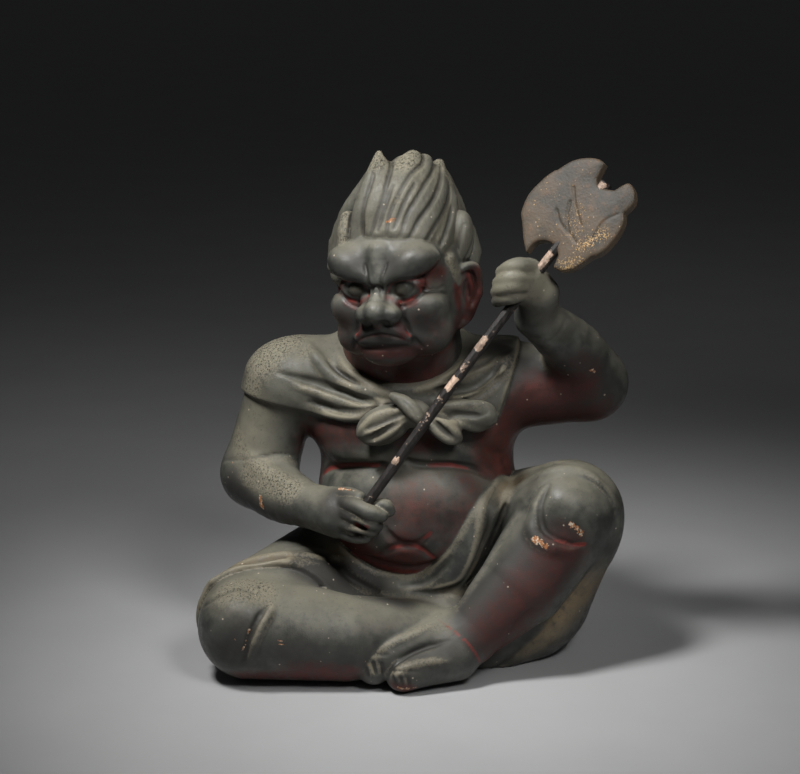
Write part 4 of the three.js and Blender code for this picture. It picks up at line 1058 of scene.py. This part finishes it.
def lacquer(name, looks, rub):
    """Old lacquer on wood: a dark grey-green skin, dust on what faces up, painted shade where the shade places
    call for it and in sheltered hollows, soil and painted shade in the grooves, tan rubbed edges, red pigment
    where a place calls for it, worn ground full of black pits, and orange and cream chips. The listed dust
    places add painted light as well as dust, and the deep red is partly the red's painted shade."""
    r = Recipe(name)
    broad, patch, mottle = r.noise(60, 4), r.noise(14, 4), r.noise(5, 5, 0.6)
    grain, fine = r.noise(1.7, 4, 0.65), r.noise(0.7, 2)
    up, groove, shelter, edge = map(r.attribute, ("facing_up", "groove", "shelter", "edge"))
    # Painted shade in hollows: sheltered spots get less of the lighter dust tone
    open_air = r.level(shelter, 1.0, 0.25)

    colour = r.mix(r.between(patch, 0.35, 0.68), looks.lacquer_dark, looks.lacquer_grey)
    rise = r.sum((up, 0.85), (mottle, 0.3), (patch, 0.2))
    # The listed dust places add painted light as well as dust
    placed_dust_and_light = r.product(r.attribute("dusty"), r.level(mottle, 0.5, 1.0), r.level(shelter, 1.0, 0.5))
    spread = r.level(r.between(broad, 0.35, 0.65), 0.7, 1.0)
    thin = r.product(r.between(rise, 0.68, 1.12), 0.85, open_air, spread)
    # This share holds dust, the painted light of the listed places, and painted shade where hollows keep it
    # back
    dust = r.most(thin, placed_dust_and_light)
    colour = r.mix(dust, colour, looks.dust)
    # Painted shade: the dark attribute from the shade places darkens the lacquer towards the painted shade
    # colour
    painted_shade = r.between(r.sum((r.attribute("dark"), 1), (patch, 0.6), (0.3, -1)), 0.1, 0.9)
    colour = r.mix(r.product(painted_shade, 0.9), colour, looks.painted_shade)
    tan = r.product(r.attribute("tan"), r.between(r.sum((mottle, 1), (patch, 0.6)), 0.4, 0.9))
    colour = r.mix(tan, colour, looks.garment)

    red = r.between(r.sum((r.attribute("red"), 1), (mottle, 0.5), (patch, 0.5), (0.5, -1)), 0.08, 0.85)
    # The deep red: a darker copy of the red, laid at random and more where the painted shade lies, so partly
    # tone and partly painted shade
    fresh = r.product(r.between(mottle, 0.3, 0.7), r.level(painted_shade, 1.0, 0.4))
    pigment = r.mix(fresh, looks.red_deep_and_shaded, looks.red)
    colour = r.mix(r.product(red, 0.93), colour, pigment)
    rubbed = r.between(r.sum((edge, 1), (grain, 0.5), (0.25, -1)), 0.14, 0.40)
    rubbed = r.product(rubbed, r.between(up, 0.25, 0.65), r.level(red, rub, 0.0))
    colour = r.mix(rubbed, colour, looks.worn)

    bare = r.attribute("worn")
    worn = r.between(r.sum((bare, 1), (grain, 1.1), (0.55, -1)), 0.15, 0.75)
    colour = r.mix(r.product(worn, 0.75), colour, r.mix(r.between(grain, 0.35, 0.65), looks.dust, looks.worn))
    pits = r.product(r.between(r.noise(1.3, 5, 0.75), 0.53, 0.60), r.between(bare, 0.15, 0.7))
    speck = r.product(r.between(grain, 0.56, 0.70), r.level(r.between(broad, 0.4, 0.7), 0.25, 0.6))
    colour = r.mix(speck, colour, looks.lacquer_dark)

    line = r.between(r.sum((r.attribute("red_line"), 1), (grain, 0.5), (0.25, -1)), 0.25, 0.75)
    # Darkening in the grooves, kept off the red crease lines: soil and painted shade
    dirt_and_shade = r.product(r.between(groove, 0.18, 0.75), r.level(line, 0.85, 0.25))
    colour = r.mix(dirt_and_shade, colour, looks.pit_and_shade)
    colour = r.mix(r.product(line, 0.85), colour, looks.red_line)
    colour = r.mix(r.product(pits, 0.8), colour, looks.pit_and_shade)

    chip = r.between(r.sum((r.attribute("chip"), 1), (r.noise(2.2, 4, 0.7), 1.3), (0.65, -1)), 0.66, 0.72)
    colour = r.mix(chip, colour, r.mix(r.between(r.noise(1.4, 2), 0.48, 0.60), looks.chip, looks.chalk))
    dots = r.product(r.between(r.cells(7), 0.11, 0.06), r.between(patch, 0.51, 0.57), 0.7)
    colour = r.mix(dots, colour, looks.chalk)
    colour = r.mix(r.attribute("eye"), colour, looks.eye)

    gloss = r.level(r.between(mottle, 0.35, 0.65), 0.30, 0.52)
    dull = r.most(r.product(dust, 0.75), r.product(worn, 0.9), chip, tan, r.product(r.attribute("dark"), 0.5))
    shine = r.most(r.attribute("polish"), r.attribute("eye"))
    roughness = r.level(shine, r.level(dull, gloss, 0.8), 0.22)
    smooth = r.level(shine, 1.0, 0.15)
    r.bump(r.product(patch, smooth), 0.5, 0.25)
    r.bump(r.product(mottle, smooth), 0.4, 0.3)
    strands = r.noise(2.4, 3, 0.5, (1, 1, 0.12))
    r.bump(r.product(strands, r.attribute("on_hair")), 0.8, 0.6)
    r.bump(r.product(grain, r.level(worn, 0.4, 1.0), smooth), 0.4, 0.5)
    r.bump(r.sum((fine, 0.6), (pits, -1), (chip, -0.7)), 0.3, 0.7)
    return r.finish(colour, roughness, 0.34)


# Settings

def number_of(name, description, default, **more):
    """A setting that is a number."""
    return FloatProperty(name=name, description=description, default=default, **more)


def colour_of(name, description, default):
    """A setting that is a colour, in linear red, green and blue."""
    return FloatVectorProperty(
        name=name, description=description, subtype="COLOR", size=3, min=0, max=1, default=default
    )


class DemonFigureSettings(bpy.types.PropertyGroup):
    """How finely the figure is carved, and its finishes."""
    body_step: number_of("Body step", "Distance between samples of the body, in mm", 1.2, min=0.8, max=3)
    head_step: number_of("Head step", "Distance between samples of the head, in mm", 0.8, min=0.5, max=3)
    lacquer_dark: colour_of("Dark lacquer", "The lacquer where it is least worn", (0.040, 0.041, 0.037))
    lacquer_grey: colour_of("Grey lacquer", "The lacquer where it has faded", (0.092, 0.093, 0.082))
    # Also the colour of the painted light in the listed dust places
    dust: colour_of("Dust", "Settled dust on what faces up", (0.190, 0.178, 0.132))
    garment: colour_of("Tan", "The tan ground of the trousers' folds and underside", (0.205, 0.155, 0.094))
    red: colour_of("Red", "Red pigment", (0.105, 0.026, 0.021))
    red_deep_and_shaded: colour_of("Deep red", "Red pigment under grime", (0.050, 0.018, 0.015))
    # A darker copy of the red, for random deeper tone and for the red's painted shade
    red_line: colour_of("Crease red", "Red pigment in the creases", (0.200, 0.034, 0.027))
    worn: colour_of("Worn ground", "The ground coat where the lacquer is rubbed off", (0.275, 0.243, 0.172))
    # The painted shade colour: the lacquer darkened as if in shade
    painted_shade: colour_of("Grime", "Dark lacquer in sheltered places", (0.032, 0.030, 0.027))
    # For the black pits, and for the soil and painted shade in the grooves
    pit_and_shade: colour_of("Pits", "Black pits and grime", (0.014, 0.012, 0.010))
    chip: colour_of("Chips", "Clay-orange of fresh chips", (0.36, 0.150, 0.060))
    chalk: colour_of("Chalk", "White ground in the deepest chips", (0.56, 0.47, 0.36))
    eye: colour_of("Eyes", "The glossy eyes", (0.060, 0.056, 0.044))


class DemonHaftSettings(bpy.types.PropertyGroup):
    """The axe's haft."""
    width: number_of("Haft width", "Across the corners of the eight-sided haft", 0.0066, unit="LENGTH")
    dark: colour_of("Dark wood", "The haft's dark lacquer", (0.014, 0.012, 0.011))
    bare: colour_of("Bare ground", "Where the lacquer has flaked off", (0.60, 0.43, 0.32))


class DemonBladeSettings(bpy.types.PropertyGroup):
    """The axe's head."""
    thickness: number_of("Blade thickness", "Thickness at the middle of the blade", 0.010, unit="LENGTH")
    brown: colour_of("Brown", "The blade's worn brown", (0.105, 0.076, 0.050))
    grey: colour_of("Grey", "The blade's grey bloom", (0.062, 0.055, 0.044))
    gold: colour_of("Gold", "Flecks of old gilding", (0.62, 0.40, 0.18))
    rust: colour_of("Rust", "Rust-brown stains", (0.22, 0.105, 0.045))
    # Soil and painted shade in the carved curl
    dirt_and_shade: colour_of("Dirt", "Dirt in the carved curl", (0.02, 0.016, 0.012))


class DemonStageSettings(bpy.types.PropertyGroup):
    """Floor, lights and camera."""
    floor: colour_of("Floor", "The pale floor", (0.41, 0.41, 0.41))
    key: number_of("Key light", "The soft light from the upper left", 0.82, unit="POWER")
    fill: number_of("Fill light", "The weak light from the right", 0.38, unit="POWER")
    top: number_of("Rear floor light", "The light on the floor behind the figure", 0.28, unit="POWER")
    wash: number_of("Floor light", "The light on the floor in front", 0.18, unit="POWER")
    lens: number_of("Lens", "Focal length of the camera in mm", 100)


# Operators

class DEMON_OT_carve_body(bpy.types.Operator):
    """Carves the body, its limbs, the trousers and the shoulder cloth with its knot"""
    bl_idname = "demon.carve_body"
    bl_label = "Carve the body"

    def execute(self, context):
        looks = context.scene.demon_figure_settings
        body, trousers, cloth = carve_body(looks.body_step)
        mesh = carved_mesh("demon_body", body, BODY_TRIANGLES)
        points = points_of(mesh)
        on_cloth, on_trousers = on_shape(points, cloth), on_shape(points, trousers)
        nothing = np.zeros(len(points))
        keep(
            mesh,
            # Dust on the cloth, and dust and painted light in the listed places
            dusty=np.maximum(0.45 * on_cloth, nearness(points, DUST_AND_PAINTED_LIGHT_PLACES)),
            # Painted shade where the shade places lie
            dark=nearness(points, PAINTED_SHADE_PLACES),
            tan=nearness(points, TAN_PLACES) * on_trousers,
            red=nearness(points, RED_PLACES) * (1 - on_cloth) * (1 - on_trousers),
            red_line=nearness(points, RED_LINES),
            worn=nearness(points, WORN_PLACES),
            chip=nearness(points, CHIP_PLACES),
            polish=nearness(points, POLISH_PLACES),
            on_hair=nothing,
            eye=nothing,
            **wear_and_shade_masks(points, body),
        )
        piece_of("demon_body", mesh, "demon_figure", lacquer("body_lacquer", looks, 0.65))
        return {"FINISHED"}


class DEMON_OT_carve_head(bpy.types.Operator):
    """Carves the head, its face, ears and swept-up hair"""
    bl_idname = "demon.carve_head"
    bl_label = "Carve the head"

    def execute(self, context):
        looks = context.scene.demon_figure_settings
        head = carve_head(looks.head_step)
        mesh = carved_mesh("demon_head", head, HEAD_TRIANGLES)
        points = points_of(mesh)
        on_hair = np.clip(1.4 - carve_hair(2 * looks.head_step).at(points), 0, 1)
        on_skin = 1 - on_hair

        def on_face(places):
            return nearness(points, places, HEAD, mirror=True)

        wear_and_shade = wear_and_shade_masks(points, head)
        wear_and_shade["edge"] *= on_hair
        keep(
            mesh,
            dusty=0.6 * on_hair,
            # Painted shade on the face
            dark=on_face(HEAD_PAINTED_SHADE) * on_skin,
            tan=np.zeros(len(points)),
            red=np.maximum(nearness(points, RED_PLACES), on_face(HEAD_RED)) * on_skin,
            red_line=on_face(HEAD_LINES),
            worn=nearness(points, WORN_PLACES),
            chip=nearness(points, CHIP_PLACES),
            polish=on_face(HEAD_POLISH),
            on_hair=on_hair,
            eye=np.clip(on_face(EYES), 0, 1),
            **wear_and_shade,
        )
        piece_of("demon_head", mesh, "demon_figure", lacquer("head_lacquer", looks, 0.35))
        return {"FINISHED"}


def haft_line(count):
    """Points and directions on the haft's bowed centre line: a curve through its three points whose
    stretches are each a cubic that leaves and arrives in the direction of its neighbours."""
    p = np.array([HAFT_FOOT, HAFT_MIDDLE, HAFT_TIP], float)
    p = np.vstack([2 * p[0] - p[1], p, 2 * p[2] - p[1]])
    gaps = np.linalg.norm(np.diff(p, axis=0), axis=1) ** 0.5
    lines = []
    for k in (1, 2):
        before, here, after = gaps[k - 1], gaps[k], gaps[k + 1]
        a, b, c, d = p[k - 1:k + 3]
        leave = ((b - a) / before - (c - a) / (before + here) + (c - b) / here) * here
        arrive = ((c - b) / here - (d - b) / (here + after) + (d - c) / after) * here
        t = np.linspace(0, 1, count // 2, endpoint=k == 2)[:, None]
        lines.append(
            (2 * t**3 - 3 * t**2 + 1) * b + (t**3 - 2 * t**2 + t) * leave
            + (3 * t**2 - 2 * t**3) * c + (t**3 - t**2) * arrive
        )
    line = np.vstack(lines)
    way = np.gradient(line, axis=0)
    return line, way / np.linalg.norm(way, axis=1, keepdims=True)


HAFT_ROWS, HAFT_RING = 420, 48
# Where the lacquer has flaked off the haft: start and end as shares of its length, and strength
BARE_PATCHES = (
    (0.735, 0.81, 0.9), (0.53, 0.57, 1), (0.455, 0.51, 0.5), (0.40, 0.45, 0.9), (0.365, 0.38, 0.6),
    (0.26, 0.33, 0.4), (0.148, 0.172, 1), (0.02, 0.05, 0.4), (0.94, 1.0, 0.7),
)


def haft_mesh(width, along, turn):
    """An octagon carried along the bowed line: its radius over the turn is a little rounded, uneven
    from the knife, thicker at the tip and drawn in at both ends. Gives the mesh, and the octagon's own
    radius at each point, one at its corners."""
    line, way = haft_line(HAFT_ROWS)
    side = np.cross(way, (0, 1, 0))
    side /= np.linalg.norm(side, axis=1, keepdims=True)
    front = np.cross(side, way)
    facet = np.cos(np.pi / 8) / np.cos((turn + np.pi / 8) % (np.pi / 4) - np.pi / 8)
    uneven = 1 + 0.008 * np.sin(29 * along + 3 * np.cos(turn)) + 0.005 * np.sin(83 * along + 5 * turn)
    radius = width * 500 * (0.12 + 0.88 * facet) * uneven
    radius *= 1 + 0.25 * np.clip(60 * along - 57, 0, 1)
    radius[0] *= 0.7
    radius[-1] *= 0.8
    points = line[:, None] + radius[..., None] * (
        np.cos(turn)[None, :, None] * side[:, None] + np.sin(turn)[None, :, None] * front[:, None]
    )
    at = np.arange(radius.size).reshape(radius.shape)
    beside = np.roll(at, -1, 1)
    walls = np.stack([at[:-1], beside[:-1], beside[1:], at[1:]], -1).reshape(-1, 4)
    ends = [at[0][::-1].tolist(), at[-1].tolist()]
    mesh = bpy.data.meshes.new("haft")
    mesh.from_pydata(((points.reshape(-1, 3) - STANDS) / 1000).tolist(), [], walls.tolist() + ends)
    mesh.update()
    mesh.shade_smooth()
    return mesh, np.tile(facet, (len(line), 1))


def flaked_off(along, turn):
    """Where the haft is bare: the side that faces the front left, inside the patches, whose ends fall
    off over a sixtieth of its length."""
    facing = np.clip(np.cos(turn + math.radians(52)) * 2.2 - 0.9, 0, 1)
    patches = np.zeros(along.shape)
    for start, end, strength in BARE_PATCHES:
        inside = np.clip(np.minimum(along - start, end - along) * 60 + 0.5, 0, 1)
        patches = np.maximum(patches, strength * inside)
    return facing * patches


def haft_lacquer(looks):
    """Dark lacquer, lighter on its corners as rubbed wear and painted highlight, with flecks and patches of
    bare pale wood.
    """
    r = Recipe("haft_lacquer")
    grain, fine = r.noise(2.2, 4, 0.6, (1, 1, 0.35)), r.noise(0.8, 3)
    edge = r.between(r.attribute("facet"), 0.965, 1.0)
    colour = r.mix(r.between(grain, 0.3, 0.7), looks.dark, [1.9 * v for v in looks.dark])
    # Lighter corners: rubbed wear, and a painted highlight along the facet edges
    colour = r.mix(r.product(edge, r.between(grain, 0.42, 0.6)), colour, [3.6 * v for v in looks.dark])
    bare = r.between(r.sum((r.attribute("bare"), 1), (r.noise(3.5, 5, 0.7), 2), (1, -1)), 0.5, 0.62)
    wood = r.mix(r.between(r.noise(4, 3), 0.35, 0.65), [0.35 * v for v in looks.bare], looks.bare)
    colour = r.mix(bare, colour, wood)
    flecks = r.between(r.cells(5), 0.16, 0.08)
    colour = r.mix(r.product(flecks, 0.25), colour, looks.bare)
    r.bump(grain, 0.4, 0.5)
    r.bump(r.maths("SUBTRACT", fine, bare), 0.2, 0.6)
    return r.finish(colour, r.level(grain, 0.34, 0.6), 0.36)


class DEMON_OT_shave_haft(bpy.types.Operator):
    """Shaves the axe's eight-sided haft along its bowed line"""
    bl_idname = "demon.shave_haft"
    bl_label = "Shave the haft"

    def execute(self, context):
        looks = context.scene.demon_haft_settings
        along = np.linspace(0, 1, HAFT_ROWS)[:, None]
        turn = np.linspace(0, 2 * np.pi, HAFT_RING + 1)[:-1]
        mesh, facet = haft_mesh(looks.width, along, turn)
        keep(mesh, bare=flaked_off(along, turn).reshape(-1), facet=facet.reshape(-1))
        piece_of("haft", mesh, "axe_haft", haft_lacquer(looks))
        return {"FINISHED"}


BLADE_STRETCHES = (
    ((-62.7, -13.9), (-57, -21), (-50.9, -27), (-47.8, -30.2)),
    ((-46.5, -31.8), (-43.9, -33.6), (-37.6, -35.7), (-30.5, -36.5), (-18.4, -34.4), (-11.6, -31.8)),
    ((-11, -30.8), (-1.7, -26.6), (5, -20), (8.6, -13), (8.8, -7.6)),
    ((-1.6, -5.5), (-3.9, -3.2), (-4.5, -1.2), (-4.4, 1.5)),
    ((-1.4, 8.2), (6.6, 12.4), (6.4, 17), (3, 21.4), (-2, 23.8), (-9.4, 22.6)),
    ((-9.4, 22.6), (-13, 25.6), (-20, 27.6), (-28, 27.8), (-36.2, 26.4), (-42, 22.2)),
    ((-42, 22.2), (-48, 20.4), (-54, 17.6), (-58.6, 12.6), (-60, 6.4)),
    ((-52.7, 4.5), (-49.6, 0.5), (-48.7, -4), (-50, -8.6)),
    ((-50, -8.6), (-53, -12.2), (-57, -13.8), (-62.7, -13.9)),
)
BLADE_STEP = 0.6
BLADE_RIM = 3.0  # width in mm of the lighter rim
BLADE_CURL = (
    ((-22, -10), (-30, -6), (-37, 1), (-40, 9)), ((-31, -14), (-36, -7), (-38, 1)),
    ((-14, -14), (-22, -6), (-30, 5)), ((-12, 20), (-20, 16), (-32, 17)),
)
# Where the gilding is left, in the blade's own place: along the haft, across it and through the blade
GOLD_PLACES = (
    ([(-56, 12, -5), (-48, 18, -5)], 13, 0.9), ([(-40, 14, -5), (-26, 20, -5)], 12, 0.9),
    ([(-34, 4, -5), (-26, -2, -5)], 20, 0.72), ([(-24, -20, -5)], 8, 0.5),
)


def outline_distance(x, y, corners):
    """The distance to a closed outline, negative inside it: the least distance to its sides, with the
    sign of how often a line to the right of a point crosses them."""
    least = np.full(np.broadcast(x, y).shape, FAR, np.float32)
    inside = np.zeros(least.shape, bool)
    for (ax, ay), (bx, by) in zip(corners, np.roll(corners, -1, 0)):
        length = (bx - ax) ** 2 + (by - ay) ** 2
        if length < 1e-9:
            continue
        t = np.clip(((x - ax) * (bx - ax) + (y - ay) * (by - ay)) / length, 0, 1)
        least = np.minimum(least, np.hypot(x - ax - t * (bx - ax), y - ay - t * (by - ay)))
        if ay != by:
            inside ^= ((ay > y) != (by > y)) & (x < (bx - ax) * (y - ay) / (by - ay) + ax)
    return np.where(inside, -least, least)


def carve_blade(corners, half):
    """The outline carried through the thickness, thinner towards the outline, with rounded edges, and
    the curl cut into both faces."""
    blade = Clay((-68, -42, -half - 3), (14, 33, half + 3), BLADE_STEP)
    low, high = blade.first * BLADE_STEP, (blade.first + blade.size) * BLADE_STEP

    def slab(x, y, z):
        edge = outline_distance(x, y, corners)
        thinning = 1.1 * np.exp(np.minimum(edge, 0) / 7)
        flat = np.abs(z) - half + thinning
        return -soft_least(-(edge + 0 * z), -flat, 1.6)

    blade.work((low, high, slab), 0, lambda old, d: d.astype(np.float32))
    for line in BLADE_CURL:
        for face in (-half, half):
            blade.cut(curve([(x, y, face) for x, y in line], 0.6), 1.2)
    return blade


def blade_turn():
    """The blade's own axes as columns: along the haft, across it and through the blade."""
    along = np.array(BLADE_ALONG) / np.linalg.norm(BLADE_ALONG)
    front = np.array(BLADE_FRONT) - along * (np.array(BLADE_FRONT) @ along)
    front /= np.linalg.norm(front)
    return np.stack([along, np.cross(along, front), -front], 1)


def blade_lacquer(looks):
    """Brown and grey lacquer with rust stains, a lighter rim of rubbed wear and painted highlight, soil and
    painted shade in the curl, and flecks of gilding.
    """
    r = Recipe("blade_lacquer")
    patch, mottle, grain = r.noise(16, 4), r.noise(4.5, 5, 0.62), r.noise(1.5, 4, 0.65)
    colour = r.mix(r.between(patch, 0.38, 0.62), looks.grey, looks.brown)
    colour = r.mix(r.product(r.between(mottle, 0.52, 0.72), 0.3), colour, looks.rust)
    rim = r.between(r.maths("ADD", r.attribute("rim"), r.maths("SUBTRACT", grain, 0.5)), 0.55, 1.0)
    # Lighter rim: rubbed wear and a painted highlight
    colour = r.mix(r.product(rim, 0.5), colour, [1.5 * v for v in looks.brown])
    gilt = r.between(r.sum((r.attribute("gold"), 1), (r.noise(1.1, 5, 0.8), 4.4), (2.2, -1)), 0.95, 1.15)
    flecks = r.product(r.between(r.cells(3.2), 0.15, 0.08), r.between(patch, 0.4, 0.55))
    gilt = r.most(gilt, r.product(flecks, 0.8))
    colour = r.mix(gilt, colour, looks.gold)
    # Darkening in the curl's grooves: soil and painted shade
    colour = r.mix(r.product(r.between(r.attribute("groove"), 0.2, 0.9), 0.7), colour, looks.dirt_and_shade)
    r.bump(patch, 0.7, 0.4)
    r.bump(mottle, 0.5, 0.45)
    r.bump(r.maths("ADD", grain, r.product(gilt, 0.5)), 0.3, 0.6)
    return r.finish(colour, r.level(gilt, 0.5, 0.36), 0.36)


class DEMON_OT_cut_blade(bpy.types.Operator):
    """Cuts the axe's head: a thick, notched blade with rounded edges and a carved curl on its face"""
    bl_idname = "demon.cut_blade"
    bl_label = "Cut the blade"

    def execute(self, context):
        looks = context.scene.demon_blade_settings
        corners = np.vstack([through(stretch) for stretch in BLADE_STRETCHES])
        blade = carve_blade(corners, looks.thickness * 500)
        points, faces = skin(blade)
        turn = blade_turn()
        world = points @ turn.T + HAFT_TIP
        mesh = thinned(mesh_of("axe_blade", (world - STANDS) / 1000, faces), BLADE_TRIANGLES)
        mesh.name = "axe_blade"
        mesh.shade_smooth()
        local = (points_of(mesh) - HAFT_TIP) @ turn
        edge = outline_distance(local[:, 0], local[:, 1], corners)
        keep(
            mesh,
            rim=np.clip(1 + edge / BLADE_RIM, 0, 1),
            gold=nearness(local, GOLD_PLACES),
            groove=wear_and_shade_masks(local, blade)["groove"],
        )
        piece_of("axe_blade", mesh, "axe_head", blade_lacquer(looks))
        return {"FINISHED"}


FLOOR_HALF = 6.0  # metres from the middle of the floor to its edges
ROOM_LIGHT, ROOM_STRENGTH = (0.57, 0.58, 0.60, 1), 0.035
# Each light: the name of its setting, its place and what it points at in metres, its width in metres
# and its spread in degrees
LIGHTS = (
    ("key", (-0.38, -0.34, 1.04), (0.00, -0.08, 0.17), 0.20, 44),
    ("fill", (0.42, -0.80, 1.05), (0.00, -0.04, 0.24), 0.40, 32),
    ("top", (0.10, 0.60, 1.20), (0.10, 0.90, 0.00), 0.50, 110),
    ("wash", (0.00, -0.62, 0.66), (0.00, -0.44, 0.00), 0.50, 42),
)
CAMERA_PLACE, CAMERA_TARGET = (-0.00943, -1.3670, 0.5140), (-0.00943, 0.01276, 0.170)
SENSOR_WIDTH = 36


def aim(thing, place, target):
    """Puts a light or the camera at a place and turns it towards a target."""
    thing.location = place
    thing.rotation_euler = (Vector(target) - Vector(place)).to_track_quat("-Z", "Y").to_euler()
    bpy.context.collection.objects.link(thing)
    return thing


class DEMON_OT_set_stage(bpy.types.Operator):
    """Lays the pale floor and sets the soft studio lights and the camera"""
    bl_idname = "demon.set_stage"
    bl_label = "Set the stage"

    def execute(self, context):
        looks = context.scene.demon_stage_settings
        corners = FLOOR_HALF * np.array([(-1, -1, 0), (1, -1, 0), (1, 1, 0), (-1, 1, 0)])
        floor_mesh = mesh_of("floor", corners, np.array([[0, 1, 2, 3]]), smooth=False)
        floor = bpy.data.objects.new("floor", floor_mesh)
        context.collection.objects.link(floor)
        r = Recipe("floor_paper")
        tone = r.mix(r.between(r.noise(90, 3), 0.3, 0.7), looks.floor, [0.96 * v for v in looks.floor])
        r.bump(r.noise(2.0, 3), 0.05, 0.2)
        floor.data.materials.append(r.finish(tone, 0.75, 0.2))

        world = bpy.data.worlds.new("studio")
        world.use_nodes = True
        room = world.node_tree.nodes["Background"]
        room.inputs["Color"].default_value = ROOM_LIGHT
        room.inputs["Strength"].default_value = ROOM_STRENGTH
        context.scene.world = world
        context.scene.view_settings.view_transform = "Standard"
        for name, place, target, width, spread in LIGHTS:
            light = bpy.data.lights.new(name, "AREA")
            light.shape, light.size, light.energy = "SQUARE", width, getattr(looks, name)
            light.spread = math.radians(spread)
            aim(bpy.data.objects.new(name, light), place, target)

        camera = bpy.data.cameras.new("camera")
        camera.lens, camera.sensor_width = looks.lens, SENSOR_WIDTH
        context.scene.camera = aim(bpy.data.objects.new("camera", camera), CAMERA_PLACE, CAMERA_TARGET)
        return {"FINISHED"}


class DEMON_PT_panel(bpy.types.Panel):
    """Lists the pieces of the figure and their settings"""
    bl_label = "Seated demon"
    bl_idname = "DEMON_PT_panel"
    bl_space_type = "VIEW_3D"
    bl_region_type = "UI"
    bl_category = "Demon"

    def draw(self, context):
        for settings, operators in PARTS:
            box = self.layout.box()
            for name in getattr(context.scene, settings).__annotations__:
                box.prop(getattr(context.scene, settings), name)
            for operator in operators:
                box.operator(operator.bl_idname)


PARTS = (
    ("demon_figure_settings", (DEMON_OT_carve_body, DEMON_OT_carve_head)),
    ("demon_haft_settings", (DEMON_OT_shave_haft,)),
    ("demon_blade_settings", (DEMON_OT_cut_blade,)),
    ("demon_stage_settings", (DEMON_OT_set_stage,)),
)
SETTINGS = {
    "demon_figure_settings": DemonFigureSettings,
    "demon_haft_settings": DemonHaftSettings,
    "demon_blade_settings": DemonBladeSettings,
    "demon_stage_settings": DemonStageSettings,
}
CLASSES = tuple(SETTINGS.values()) + tuple(o for _, group in PARTS for o in group) + (DEMON_PT_panel,)


def register():
    """Makes the classes and their settings known to Blender."""
    for cls in CLASSES:
        bpy.utils.register_class(cls)
    for name, group in SETTINGS.items():
        setattr(bpy.types.Scene, name, PointerProperty(type=group))


def unregister():
    """Takes the settings and the classes out again."""
    for name in SETTINGS:
        delattr(bpy.types.Scene, name)
    for cls in reversed(CLASSES):
        bpy.utils.unregister_class(cls)


def main():
    """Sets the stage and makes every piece."""
    register()
    bpy.ops.demon.set_stage()
    bpy.ops.demon.carve_body()
    bpy.ops.demon.carve_head()
    bpy.ops.demon.shave_haft()
    bpy.ops.demon.cut_blade()


if __name__ == "__main__":
    main()
